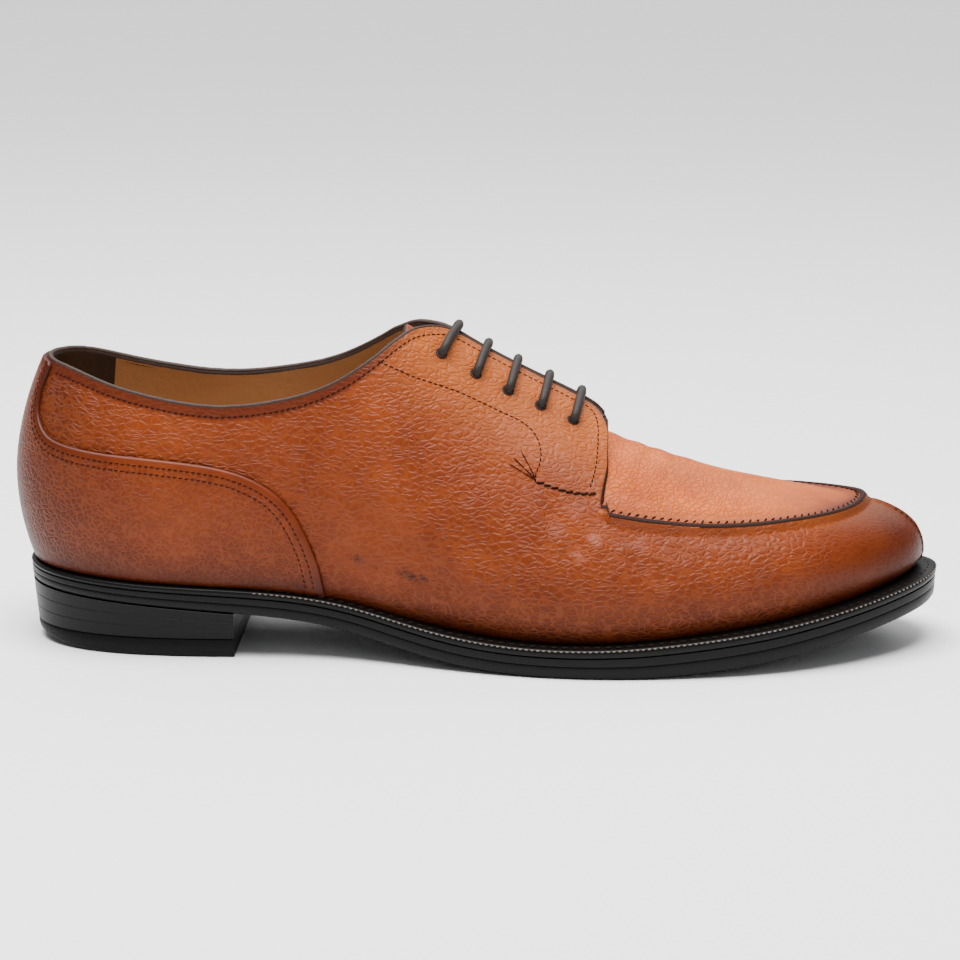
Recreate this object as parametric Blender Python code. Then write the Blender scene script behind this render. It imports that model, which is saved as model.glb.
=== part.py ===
"""Split toe derby, right shoe, as an assembly of separate solids.

Sizes below are in millimetres and are turned into metres when a mesh is made.
x runs from the back of the sole to the toe, y from the outer side (-) to the
inner side (+), z up from the floor.
"""
import bpy
import bmesh
import numpy as np
from math import pi
from mathutils import Vector
from mathutils.geometry import delaunay_2d_cdt

MM = 0.001
GAP = 0.3               # between pieces that touch
LENGTH = 306.0          # of the sole, back to toe
TIP_Y = 6.0             # the toe tip lies towards the inner side
HEEL_BREAST = 72.0      # front face of the heel
ORIGIN_X = 151.0        # middle of the whole shoe's box
ORIGIN_Y = -1.4

WALL = 2.2              # upper leather with its lining
WELT_SHARE = 0.27       # of the sole's edge
MIDSOLE_SHARE = 0.30
TOP_PIECE_THICK = 6.0
LIFTS = 3
INSOLE_RISE = 1.4       # insole top above the upper's lower edge

THROAT_FRONT = 193.0    # front edges of the quarters
FACING_STEP = 1.2       # quarter lies on the apron by this much
APRON_BACK, APRON_FRONT = 185.0, 280.5
APRON_OUTER, APRON_INNER = 39.5, 34.0
BEAD = {("seam", 0.0): 1.5, ("seam", 0.022): 0.5}      # raised apron seam, by row of the upper's grid
SEAM_GROOVE = 0.7       # split seam down the toe
COUNTER_THICK = 1.2
COUNTER_GAP = 0.35
COUNTER_MESH = 8.0      # size of its facets
TURN_SCALE, SHARE_SCALE = 100.0, 110.0      # millimetres to a radian and to a whole rib
TONGUE_THICK = 3.0
TONGUE_HALF = 21.0
TONGUE_TOP = 126.5
TONGUE_SINK = 3.8       # its long edges dip below the vamp's surface

LACE_RADIUS = 1.2
LACE_REACH = 15.0       # eyelets from the ridge
EYELET_RADIUS = 1.9
LOW_SHARE = 0.2         # part of a rib that lies below the bulge
SIDE_END = 194.0        # the section table's last place; ahead of it the toe's own rules hold
TOE_BULGE, TOE_BULGE_LOSS = 11.0, 6.3       # height of the bulge at the ball and what it loses by the toe
HEEL_FAN, HEEL_FAN_START = 35.0, 60.0       # ribs lean forward this much at the heel
TOE_FAN, TOE_FAN_START = 34.0, 215.0        # and back this much at the toe
# where each lace bar crosses the ridge, and the place of its two eyelets
LACE_ROWS = ((145.0, 139.5), (155.0, 150.3), (165.0, 161.0), (175.0, 171.8), (185.5, 182.8))

# sole plan: x, outer half width, inner half width
PLAN = (
    (5, 16.5, 16.5), (18, 27.5, 27.5), (40, 34.0, 33.5), (72, 35.0, 32.5), (108, 36.0, 30.0),
    (145, 46.5, 36.0), (185, 54.0, 47.5), (218, 52.0, 51.5), (248, 45.5, 48.0),
    (272, 35.0, 41.0), (291, 21.5, 31.0), (302, 8.5, 19.5))

# sole heights: x, rim top, sole bottom
SOLE = (
    (0, 27.0, 20.2), (40, 24.6, 17.4), (72, 23.2, 15.0), (108, 19.2, 10.2), (135, 13.4, 3.8),
    (160, 10.3, 0.6), (185, 9.8, 0.0), (204, 10.6, 0.0), (218, 11.8, 0.8), (248, 15.2, 4.2),
    (276, 19.8, 9.4), (306, 25.6, 15.6))

# upper sections: x, ridge height, ridge y, side bulge above the welt, welt shown outer and inner,
# tuck below the bulge, fullness of the side and of the top
SECTIONS = (
    (0, 124, 0, 29, -2.6, -2.6, 5.5, 0.42, 0.30),
    (20, 124, 0, 24, -0.6, -0.6, 4.5, 0.42, 0.36),
    (40, 124, 0, 21, 0.6, 0.6, 3.5, 0.42, 0.44),
    (70, 124, 0, 20, 1.0, 1.5, 3.0, 0.42, 0.52),
    (105, 127, 0, 18, 1.5, 1.0, 3.0, 0.42, 0.50),
    (120, 123, 0, 16.5, 2.2, 1.0, 3.0, 0.42, 0.44),
    (130, 116.5, 1, 15, 3.0, 1.5, 3.0, 0.42, 0.40),
    (140, 108.5, 1.5, 14, 3.8, 2.2, 3.0, 0.42, 0.36),
    (150, 101.8, 2, 13, 4.5, 3.0, 3.0, 0.42, 0.32),
    (175, 87.4, 3, 11.5, 5.0, 4.5, 2.5, 0.44, 0.24),
    (194, 77.5, 3, 11, 5.0, 5.0, 2.5, 0.45, 0.20))

# vamp and tongue ridge: x, height, fullness of the top
VAMP = (
    (120, 107, 0.36), (150, 93.5, 0.38), (175, 79.5, 0.44), (194, 70.0, 0.50), (213, 63.2, 0.54),
    (230, 57.6, 0.58), (245, 54.2, 0.60), (260, 51.4, 0.62), (275, 49.2, 0.64))

# topline: x, height on the outer and inner side
TOPLINE = (
    (8, 95.2, 95.2), (16, 93.8, 94.0), (29, 89.7, 90.5), (45, 85.7, 87.0), (66, 83.0, 85.0),
    (86, 84.8, 87.2), (107, 91.8, 93.0), (121, 101.0, 101.0))
TOPLINE_END = 121.0

# throat: x, distance of the facing's edge from the ridge on the outer and inner side
THROAT = (
    (121, 20.3, 16.4), (125, 18.0, 14.4), (130, 14.2, 11.4), (136, 9.6, 8.2), (142, 5.4, 5.0),
    (148, 4.0, 4.0), (165, 3.4, 3.4), (183, 3.6, 3.6), (188.5, 4.2, 4.2), (191, 5.6, 5.6),
    (193, 9.0, 9.0))

# counter's edge from the welt back to the strap: place along the sole's plan, share v up the rib
COUNTER = (
    (101.9, 0.0), (101.4, 0.05), (100.7, 0.10), (98.6, 0.17), (94.6, 0.235), (89.4, 0.283),
    (83.0, 0.315), (75.5, 0.338), (66.0, 0.354), (54.0, 0.362), (42.0, 0.364), (31.0, 0.360),
    (21.0, 0.355), (13.5, 0.354), (9.4, 0.362), (6.8, 0.382), (5.2, 0.408), (4.4, 0.438),
    (4.1, 0.47), (4.2, 0.50), (4.5, 0.53))


def spline(rows, column, x):
    """Natural cubic through a table's column, carried on straight past its ends."""
    xs = np.array([row[0] for row in rows], float)
    ys = np.array([row[column] for row in rows], float)
    n = len(xs)
    h = np.diff(xs)
    slope = np.diff(ys) / h
    a = np.eye(n)
    b = np.zeros(n)
    for i in range(1, n - 1):
        a[i, i - 1:i + 2] = h[i - 1], 2 * (h[i - 1] + h[i]), h[i]
        b[i] = 6 * (slope[i] - slope[i - 1])
    m = np.linalg.solve(a, b)
    x = np.asarray(x, float)
    inside = np.clip(x, xs[0], xs[-1])
    k = np.clip(np.searchsorted(xs, inside) - 1, 0, n - 2)
    left, right = inside - xs[k], xs[k + 1] - inside
    y = ((m[k] * right ** 3 + m[k + 1] * left ** 3) / (6 * h[k])
         + (ys[k] / h[k] - m[k] * h[k] / 6) * right + (ys[k + 1] / h[k] - m[k + 1] * h[k] / 6) * left)
    first = slope[0] - h[0] * m[1] / 6
    last = slope[-1] + h[-1] * m[-2] / 6
    return y + np.where(x < xs[0], first * (x - xs[0]), 0) + np.where(x > xs[-1], last * (x - xs[-1]), 0)


def smooth_step(a, b, x):
    u = np.clip((np.asarray(x, float) - a) / (b - a), 0, 1)
    return u * u * (3 - 2 * u)


def along(x):
    """Turn about the plan that a place x has: 0 at the heel, pi at the toe."""
    return np.arccos(1 - 2 * np.asarray(x, float) / LENGTH)


def closed_plan():
    """The sole's outline as one periodic table of turn and y, outer side first."""
    rows = [(0.0, 0.0)]
    rows += [(float(along(x)), -outer) for x, outer, inner in PLAN]
    rows += [(pi, TIP_Y)]
    rows += [(2 * pi - float(along(x)), inner) for x, outer, inner in reversed(PLAN)]
    overlap = 4
    before = [(t - 2 * pi, y) for t, y in rows[-overlap:]]
    after = [(t + 2 * pi, y) for t, y in rows[:overlap]]
    return before + rows + after


PLAN_LOOP = closed_plan()


def plan(turn, inset=0.0):
    """Points of the sole's outline, moved in by inset."""
    turn = np.asarray(turn, float)
    step = 1e-3

    def at(t):
        wrapped = np.mod(t, 2 * pi)
        return LENGTH / 2 * (1 - np.cos(wrapped)), spline(PLAN_LOOP, 1, wrapped)

    x, y = at(turn)
    xa, ya = at(turn - step)
    xb, yb = at(turn + step)
    dx, dy = xb - xa, yb - ya
    size = np.hypot(dx, dy)
    return x - dy / size * inset, y + dx / size * inset


def rim_top(x):
    return spline(SOLE, 1, x)


def sole_bottom(x):
    return np.maximum(spline(SOLE, 2, x), 0.0)


def welt_bottom(x):
    return rim_top(x) - WELT_SHARE * (rim_top(x) - sole_bottom(x))


def midsole_bottom(x):
    return welt_bottom(x) - MIDSOLE_SHARE * (rim_top(x) - sole_bottom(x))


def above(level, rise):
    """A height function moved up by rise."""
    return lambda x: level(x) + rise


def outer_share(turn):
    """1 on the outer side, 0 on the inner side, blended round heel and toe."""
    return 0.5 + 0.5 * np.clip(1.6 * np.sin(turn), -1, 1)


def section(column, x):
    return spline(SECTIONS, column, np.minimum(x, SIDE_END))


def skin(turn, v, quarter):
    """The last's surface: v goes from the welt, 0, over the side to the ridge, 1."""
    turn, v = np.broadcast_arrays(np.asarray(turn, float), np.asarray(v, float))
    px, _ = plan(turn)
    share = outer_share(turn)
    shown = section(4, px) * share + section(5, px) * (1 - share)
    tuck = section(6, px)
    gx, gy = plan(turn, shown)
    fx, fy = plan(turn, shown + tuck)
    toe_rise = TOE_BULGE - TOE_BULGE_LOSS * smooth_step(255, LENGTH, px)
    rise = np.where(px < SIDE_END, section(3, px), toe_rise)
    fz = rim_top(px) + GAP
    gz = fz + rise
    # ridge point: ribs fan out round heel and toe
    back = np.clip(1 - px / HEEL_FAN_START, 0, 1)
    front = np.clip((px - TOE_FAN_START) / (LENGTH - TOE_FAN_START), 0, 1)
    rx = px + HEEL_FAN * back ** 2 - TOE_FAN * front ** 2
    if quarter:
        rz, ry = spline(SECTIONS, 1, rx), spline(SECTIONS, 2, rx)
        top_full, side_full = section(8, rx), section(7, rx)
        slope = (spline(SECTIONS, 1, rx + 0.1) - spline(SECTIONS, 1, rx - 0.1)) / 0.2
    else:
        rz = spline(VAMP, 1, rx)
        ry = ridge_y(rx)
        top_full = spline(VAMP, 2, rx)
        side_full = 0.45 + 0.1 * smooth_step(200, 290, px)
        slope = (spline(VAMP, 1, rx + 0.1) - spline(VAMP, 1, rx - 0.1)) / 0.2
    dx, dy = gx - rx, gy - ry
    upper = np.clip((v - LOW_SHARE) / (1 - LOW_SHARE), 0, 1)
    lower = np.clip(v / LOW_SHARE, 0, 1)
    # girth to ridge
    a0, a1, a2, a3 = (1 - upper) ** 3, 3 * upper * (1 - upper) ** 2, 3 * upper ** 2 * (1 - upper), upper ** 3
    x_up = gx * (a0 + a1) + (rx + dx * top_full) * a2 + rx * a3
    y_up = gy * (a0 + a1) + (ry + dy * top_full) * a2 + ry * a3
    z_up = (gz * a0 + (gz + side_full * (rz - gz)) * a1
            + (rz + slope * dx * top_full) * a2 + rz * a3)
    # welt to girth
    b0, b1, b2, b3 = (1 - lower) ** 3, 3 * lower * (1 - lower) ** 2, 3 * lower ** 2 * (1 - lower), lower ** 3
    x_low = fx * b0 + (fx + 0.45 * (gx - fx)) * b1 + gx * (b2 + b3)
    y_low = fy * b0 + (fy + 0.45 * (gy - fy)) * b1 + gy * (b2 + b3)
    z_low = fz * b0 + (fz + 0.22 * rise) * b1 + (gz - 0.42 * rise) * b2 + gz * b3
    high = v >= LOW_SHARE
    return np.stack([np.where(high, x_up, x_low), np.where(high, y_up, y_low),
                     np.where(high, z_up, z_low)], -1)


def first_share(test, low=0.25, high=0.9995, count=400):
    """Share v on each rib where a test first holds, found on a fine ladder of shares."""
    return np.linspace(low, high, count)[test.argmax(axis=1)]


def ladder(turn, quarter, low=0.25, high=0.9995, count=400):
    shares = np.linspace(low, high, count)
    return skin(np.atleast_1d(turn)[:, None], shares[None, :], quarter)


def ridge_y(x):
    return 3.0 + 2.0 * smooth_step(200, 290, x)


def apron_edge(turn):
    """Share v at which ribs of the vamp cross the apron seam."""
    points = ladder(turn, False)
    u = np.clip((points[..., 0] - APRON_BACK) / (APRON_FRONT - APRON_BACK), 0, 1)
    wide = np.where(points[..., 1] < ridge_y(points[..., 0]), APRON_OUTER, APRON_INNER)
    half = wide * (1 - u ** 2.6) ** 0.53
    return first_share(np.abs(points[..., 1] - ridge_y(points[..., 0])) < half)


def top_edge(turn):
    """Share v of the topline and, further on, of the facing's edge."""
    turn = np.atleast_1d(turn)
    points = ladder(turn, True)
    x, y, z = points[..., 0], points[..., 1], points[..., 2]
    height = np.where(y < 0, spline(TOPLINE, 1, x), spline(TOPLINE, 2, x))
    middle = spline(SECTIONS, 2, x)
    ahead = np.maximum(x, TOPLINE_END)
    distance = np.where(y < middle, spline(THROAT, 1, ahead), spline(THROAT, 2, ahead))
    reached = np.where(x < TOPLINE_END, z > height, np.abs(y - middle) < distance)
    return first_share(reached)


def normals(turn, v, quarter):
    """Outward unit normals of the skin."""
    step = 2e-4
    v = np.minimum(np.asarray(v, float), 0.99)      # ribs meet in one point at the ridge's ends
    along_turn = skin(turn + step, v, quarter) - skin(turn - step, v, quarter)
    along_v = skin(turn, v + step, quarter) - skin(turn, v - step, quarter)
    n = np.cross(along_turn, along_v)
    return n / np.linalg.norm(n, axis=-1, keepdims=True)


def surface(turn, v, quarter, offset=0.0):
    """The skin, where quarter may be a share from 0, vamp, to 1, quarter; moved out by offset."""
    turn, v = np.broadcast_arrays(np.asarray(turn, float), np.asarray(v, float))
    share = np.broadcast_to(np.asarray(quarter, float), turn.shape)[..., None]
    flesh = skin(turn, v, False) * (1 - share) + skin(turn, v, True) * share
    n = normals(turn, v, False) * (1 - share) + normals(turn, v, True) * share
    level = np.clip(v / 0.04, 0, 1)[..., None]
    flat = n * np.array([1, 1, 0])
    flat = flat / (np.linalg.norm(flat, axis=-1, keepdims=True) + 1e-9)
    n = n * level + flat * (1 - level)
    n = n / np.linalg.norm(n, axis=-1, keepdims=True)
    return flesh + n * np.broadcast_to(np.asarray(offset, float), turn.shape)[..., None]


def world(points):
    """Millimetres from the heel to metres about the origin."""
    return (np.asarray(points, float) - np.array([ORIGIN_X, ORIGIN_Y, 0.0])) * MM


def material(name, colour, roughness, metallic=0.0):
    made = bpy.data.materials.get(name) or bpy.data.materials.new(name)
    made.use_nodes = True
    shader = made.node_tree.nodes["Principled BSDF"]
    shader.inputs["Base Color"].default_value = (*colour, 1.0)
    shader.inputs["Roughness"].default_value = roughness
    shader.inputs["Metallic"].default_value = metallic
    return made


def solid(name, points, faces, finish, weld=1e-6, sharp=0.6):
    """One closed mesh object from points in millimetres."""
    mesh = bpy.data.meshes.new(name)
    mesh.from_pydata([tuple(p) for p in world(points)], [], [tuple(int(i) for i in f) for f in faces])
    made = bmesh.new()
    made.from_mesh(mesh)
    bmesh.ops.remove_doubles(made, verts=made.verts, dist=weld)
    bmesh.ops.dissolve_degenerate(made, dist=1e-7, edges=made.edges)
    bmesh.ops.recalc_face_normals(made, faces=made.faces)
    made.to_mesh(mesh)
    made.free()
    mesh.shade_smooth()
    mesh.set_sharp_from_angle(angle=sharp)
    mesh.materials.append(finish)
    made_object = bpy.data.objects.new(name, mesh)
    bpy.context.scene.collection.objects.link(made_object)
    return made_object


def band(first, second, closed=True):
    """Quads between two rows of indices."""
    count = len(first) if closed else len(first) - 1
    return [(first[i], first[(i + 1) % len(first)], second[(i + 1) % len(first)], second[i])
            for i in range(count)]


def plate(name, turns, levels, finish):
    """A slab inside the sole's outline. levels: inset and height function, bottom to top.

    turns runs from the back along the outer side; the inner side mirrors it.
    """
    whole = abs(turns[-1] - pi) < 1e-9      # reaches the toe's tip
    ring = np.array(list(turns) + [2 * pi - t for t in turns[(-2 if whole else -1):0:-1]])
    count = len(ring)
    points, rows = [], []
    for inset, height in levels:
        x, y = plan(ring, inset)
        rows.append(list(range(len(points), len(points) + count)))
        points += list(np.stack([x, y, height(x) + 0 * x], -1))
    faces = []
    for low, high in zip(rows[:-1], rows[1:]):
        faces += band(low, high)
    for row, step in ((rows[0], -1), (rows[-1], 1)):
        for k in range(len(turns) - 1):
            corners = (row[k], row[k + 1], row[(count - k - 1) % count], row[(count - k) % count])
            faces.append(tuple(dict.fromkeys(corners))[::step])
    return solid(name, points, faces, finish)


def sole_turns(first, last, count):
    return [float(t) for t in np.linspace(along(first), along(last), count)]


def build_sole():
    """Outsole, midsole and welt, then the heel's lifts and top piece."""
    black = material("sole_black", (0.012, 0.011, 0.011), 0.38)
    rubber = material("top_piece_rubber", (0.010, 0.010, 0.010), 0.55)
    turns = sole_turns(0, LENGTH, 44)

    plate("outsole", turns, (
        (1.6, sole_bottom), (0.6, above(sole_bottom, 0.7)), (0.6, above(midsole_bottom, -GAP - 0.4)),
        (1.0, above(midsole_bottom, -GAP))), black)
    plate("midsole", turns, (
        (0.8, midsole_bottom), (0.4, above(midsole_bottom, 0.4)),
        (0.4, above(welt_bottom, -GAP - 0.4)), (0.8, above(welt_bottom, -GAP))), black)
    build_welt(turns, black)
    build_heel(black, rubber)


def build_welt(turns, finish):
    """A strip round the sole's edge, under the upper's lower edge."""
    ring = np.array(turns + [2 * pi - t for t in turns[-2:0:-1]])
    px, _ = plan(ring)
    inner = welt_inner(ring)
    points, rows = [], []
    for inset, height in ((inner, rim_top(px)), (inner, welt_bottom(px)), (0.4, welt_bottom(px)),
                          (0.0, welt_bottom(px) + 0.5), (0.0, rim_top(px) - 0.5), (0.5, rim_top(px))):
        x, y = plan(ring, inset)
        rows.append(list(range(len(points), len(points) + len(ring))))
        points += list(np.stack([x, y, height], -1))
    faces = []
    for k in range(len(rows)):
        faces += band(rows[k], rows[(k + 1) % len(rows)])
    solid("welt", points, faces, finish)


def shown_and_tuck(turn):
    px, _ = plan(turn)
    share = outer_share(turn)
    return section(4, px) * share + section(5, px) * (1 - share) + section(6, px)


def welt_inner(turn):
    return shown_and_tuck(turn) + WALL


def heel_wear(x):
    """The back of the top piece is worn to a slope."""
    return 4.2 * np.clip((28.0 - np.asarray(x, float)) / 28.0, 0, 1) ** 2


def build_heel(leather, rubber):
    turns = sole_turns(0, HEEL_BREAST, 16)
    low = TOP_PIECE_THICK + GAP

    def level(share):
        return lambda x: low + (sole_bottom(x) - low) * share

    for lift in range(LIFTS):
        base, top = level(lift / LIFTS), level((lift + 1) / LIFTS)
        inset = 0.9 + 0.35 * (LIFTS - lift)
        plate(f"heel_lift_{lift + 1}", turns, (
            (inset + 0.3, base), (inset, above(base, 0.4)),
            (inset, above(top, -GAP - 0.4)), (inset + 0.3, above(top, -GAP))), leather)
    plate("heel_top_piece", turns, (
        (2.6, heel_wear), (2.1, above(heel_wear, 0.6)), (2.1, lambda x: TOP_PIECE_THICK + 0 * x)), rubber)


def build_upper(finish):
    """The hollow upper: outer and inner skin, a band at the collar and throat, and the lower edge."""
    edge = float(along(THROAT_FRONT))
    strip = float(along(THROAT_FRONT + 0.5))
    quarter = list(np.linspace(0, edge, 25))
    vamp = [strip] + list(np.linspace(strip, pi - 0.021, 16)[1:]) + [pi]
    side = np.array(quarter + vamp)
    back_shift = float(along(THROAT_FRONT)) - float(along(THROAT_FRONT - WALL))
    inner_side = side.copy()
    inner_side[len(quarter) - 1:len(quarter) + 1] -= back_shift

    def grid(turns_side, apron_rows, offset_out):
        ring = np.concatenate([turns_side, 2 * pi - turns_side[-2:0:-1]])
        columns = len(ring)
        index = np.arange(columns)
        half = len(turns_side) - 1
        place = np.where(index <= half, index, columns - index)
        is_quarter = place < len(quarter)
        top = np.where(is_quarter, top_edge(ring), 1.0)
        seam = apron_edge(ring)
        own = np.where(index <= half, seam[len(quarter)], seam[columns - len(quarter)])
        end_top = np.where(index <= half, top[len(quarter) - 1], top[columns - len(quarter) + 1])
        seam = np.where(is_quarter, own * top / end_top, seam)
        rows = []
        for kind, share in apron_rows:
            if kind == "below":
                rows.append(seam * share)
            elif kind == "seam":
                rows.append(seam + share)
            else:
                rows.append(seam + (top - seam) * share)
        v = np.stack(rows, 1)
        turn = ring[:, None] + 0 * v
        x = plan(ring)[0][:, None] + 0 * v
        above = smooth_step(0, 0.02, v - seam[:, None] + 0.004)
        blend_low = 1 - smooth_step(165, THROAT_FRONT, x)
        share = np.where(is_quarter[:, None], blend_low + (1 - blend_low) * above, 0.0)
        lift = np.where(is_quarter[:, None], FACING_STEP * above * smooth_step(150, 186, x), 0.0)
        if offset_out:
            bead = np.array([BEAD.get(row, 0.0) for row in apron_rows])
            lift = np.where(is_quarter[:, None], lift, bead[None, :])
            lift[half] = lift[half] - SEAM_GROOVE * (v[half] < seam[half])
            offset = lift
        else:
            offset = -WALL + 0 * v
        points = surface(turn, v, share, offset)
        for col in range(len(quarter), half):
            mirror = columns - col
            middle = 0.5 * (points[col, -1] + points[mirror, -1])
            points[col, -1] = middle
            points[mirror, -1] = middle
        return points, columns

    below = [("below", s) for s in (0, 0.05, 0.14, 0.26, 0.42, 0.6, 0.8)]
    bead_rows = [("seam", -0.012), *BEAD]
    above = [("above", s) for s in (0.16, 0.34, 0.52, 0.7, 0.86, 1.0)]
    inner_rows = [("below", s) for s in (0, 0.06, 0.18, 0.4, 0.7)] + [("above", s) for s in (0, 0.3, 0.65, 1.0)]
    outer, columns = grid(side, below + bead_rows + above, True)
    inner, _ = grid(inner_side, inner_rows, False)
    rows_out, rows_in = outer.shape[1], inner.shape[1]
    points = np.concatenate([outer.reshape(-1, 3), inner.reshape(-1, 3)])

    def out_id(column, row):
        return (column % columns) * rows_out + row

    def in_id(column, row):
        return columns * rows_out + (column % columns) * rows_in + row

    faces = []
    last_quarter = len(quarter) - 1
    for c in range(columns):
        for r in range(rows_out - 1):
            faces.append((out_id(c, r), out_id(c + 1, r), out_id(c + 1, r + 1), out_id(c, r + 1)))
        for r in range(rows_in - 1):
            faces.append((in_id(c, r), in_id(c, r + 1), in_id(c + 1, r + 1), in_id(c + 1, r)))
        faces.append((out_id(c, 0), in_id(c, 0), in_id(c + 1, 0), out_id(c + 1, 0)))
        if c <= last_quarter or c >= columns - last_quarter - 1:
            faces.append((out_id(c, rows_out - 1), out_id(c + 1, rows_out - 1),
                          in_id(c + 1, rows_in - 1), in_id(c, rows_in - 1)))
    return solid("upper", points, faces, finish)


def tongue_edge(turn):
    """Share v of the tongue's long edges; its top corners are rounded."""
    points = ladder(turn, False)
    x = points[..., 0]
    half = TONGUE_HALF - 5.0 * smooth_step(150, 188, x)
    half = half * np.sqrt(1 - np.clip((TONGUE_TOP + 14 - x) / 15, 0, 1) ** 2)
    return first_share(np.abs(points[..., 1] - ridge_y(x)) < np.maximum(half, 6.0))


def build_tongue(finish):
    """A padded strip under the facings, from the vamp up to the topline."""
    places = np.array([188.5, 185, 180, 172, 164, 156, 148, 141, 135, 130.5, 127.6, TONGUE_TOP])
    across = np.linspace(0, 1, 6)
    rows = []
    for x in places:
        turn = float(along(x))
        row = []
        for t, steps in ((turn, across[:-1]), (2 * pi - turn, across[::-1])):
            edge = tongue_edge(t)[0]
            for step in steps:
                rise = 1.8 * float(smooth_step(188, 175, x)) * step - TONGUE_SINK * (1 - step) ** 2
                row.append((t, edge + (1 - edge) * step, rise))
        rows.append(row)
    turns, shares, rises = (np.array([[item[k] for item in row] for row in rows]) for k in range(3))
    outer = surface(turns, shares, 0.0, rises)
    inner = surface(turns, shares, 0.0, rises - TONGUE_THICK)
    count, wide = turns.shape
    points = np.concatenate([outer.reshape(-1, 3), inner.reshape(-1, 3)])
    faces = []
    for i in range(count - 1):
        for j in range(wide - 1):
            a, b, c, d = i * wide + j, i * wide + j + 1, (i + 1) * wide + j + 1, (i + 1) * wide + j
            low = count * wide
            faces += [(a, b, c, d), (d + low, c + low, b + low, a + low)]
    rim = ([j for j in range(wide)] + [i * wide + wide - 1 for i in range(1, count)]
           + [(count - 1) * wide + j for j in range(wide - 2, -1, -1)] + [i * wide for i in range(count - 2, 0, -1)])
    faces += band(rim, [k + count * wide for k in rim])
    return solid("tongue", points, faces, finish)


def build_insole(finish):
    """A board inside the upper, on the midsole."""
    turns = sole_turns(0, LENGTH, 34)
    ring = np.array(turns + [2 * pi - t for t in turns[-2:0:-1]])
    inset = welt_inner(ring) + GAP

    top = above(rim_top, INSOLE_RISE)
    plate("insole", turns, ((inset, welt_bottom), (inset, above(top, -0.4)), (inset + 0.5, top)), finish)


def counter_outline():
    """The counter in turn and share v, from the outer side's welt over the back to the inner side's."""
    top_turns = np.linspace(float(along(COUNTER[-1][0])), -float(along(COUNTER[-1][0])), 7)
    top = [(float(t), float(top_edge(t)[0]) - 0.008) for t in top_turns]
    outer = [(float(along(x)), v) for x, v in COUNTER]
    inner = [(-t, v) for t, v in reversed(outer)]
    low_turns = np.linspace(inner[-1][0], outer[0][0], 34)[1:-1]
    return outer + top + inner + [(float(t), 0.0) for t in low_turns]


def build_counter(finish):
    """The overlay round the heel, cut between two skins just outside the upper."""
    outline = [Vector((t * TURN_SCALE, v * SHARE_SCALE)) for t, v in counter_outline()]
    poly = np.array([tuple(p) for p in outline])
    low, high = poly.min(0), poly.max(0)
    inner_points = []
    for gy in np.arange(low[1] + COUNTER_MESH * 0.8, high[1], COUNTER_MESH):
        for gx in np.arange(low[0], high[0], COUNTER_MESH):
            edge = np.roll(poly, -1, 0) - poly
            to_point = np.array([gx, gy]) - poly
            share = np.clip((to_point * edge).sum(1) / (edge * edge).sum(1), 0, 1)
            near = np.hypot(*(to_point - edge * share[:, None]).T).min()
            crossed = (poly[:, 1] > gy) != (np.roll(poly, -1, 0)[:, 1] > gy)
            at_x = poly[:, 0] + (gy - poly[:, 1]) * edge[:, 0] / np.where(edge[:, 1] == 0, 1, edge[:, 1])
            if near > COUNTER_MESH * 0.55 and (crossed & (at_x > gx)).sum() % 2 == 1:
                inner_points.append(Vector((gx, gy)))
    corners = outline + inner_points
    ring = list(range(len(outline)))
    flat, _, triangles, *_ = delaunay_2d_cdt(corners, [], [ring], 1, 1e-6)
    turns = np.array([p[0] for p in flat]) / TURN_SCALE
    shares = np.array([p[1] for p in flat]) / SHARE_SCALE
    count = len(flat)
    points = np.concatenate([surface(turns, shares, 1.0, COUNTER_GAP + COUNTER_THICK),
                             surface(turns, shares, 1.0, COUNTER_GAP)])
    faces = [tuple(t) for t in triangles] + [tuple(k + count for k in reversed(t)) for t in triangles]
    used = {}
    for tri in triangles:
        for a, b in zip(tri, list(tri[1:]) + [tri[0]]):
            used[(a, b)] = True
    faces += [(b, a, a + count, b + count) for a, b in used if (b, a) not in used]
    return solid("heel_counter", points, faces, finish)


def facing_lift(x):
    return FACING_STEP * smooth_step(150, 186, x)


def share_at(turn, half):
    """Share v on a quarter rib at a distance from the ridge."""
    points = ladder(turn, True, low=0.5)
    reached = np.abs(points[..., 1] - spline(SECTIONS, 2, points[..., 0])) < half
    return first_share(reached, low=0.5)[0]


def facing_point(x, half, outer_side, height):
    """A point over the facing, half from the ridge, and the normal there."""
    turn = float(along(x)) if outer_side else 2 * pi - float(along(x))
    v = share_at(turn, half)
    point = surface(turn, v, 1.0, facing_lift(x) + height)
    return point, normals(np.array(turn), np.array(v), True)


def cut_eyelets(upper):
    """Two rows of plain holes through the facings."""
    cutters = []
    for _, place in LACE_ROWS:
        for outer_side in (True, False):
            centre, normal = facing_point(place, LACE_REACH, outer_side, -0.8)
            bpy.ops.mesh.primitive_cylinder_add(vertices=10, radius=EYELET_RADIUS * MM, depth=8.0 * MM)
            cutter = bpy.context.object
            cutter.name = f"eyelet_cutter_{len(cutters) + 1}"
            cutter.location = world(centre)
            cutter.rotation_mode = "QUATERNION"
            cutter.rotation_quaternion = Vector(normal).to_track_quat("Z", "Y")
            cutter.hide_render = True
            cutter.display_type = "WIRE"
            cutters.append(cutter)
    group = bpy.data.collections.new("eyelet_cutters")
    bpy.context.scene.collection.children.link(group)
    for cutter in cutters:
        for owner in list(cutter.users_collection):
            owner.objects.unlink(cutter)
        group.objects.link(cutter)
    cut = upper.modifiers.new("eyelets", "BOOLEAN")
    cut.operation = "DIFFERENCE"
    cut.solver = "EXACT"
    cut.operand_type = "COLLECTION"
    cut.collection = group


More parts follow.
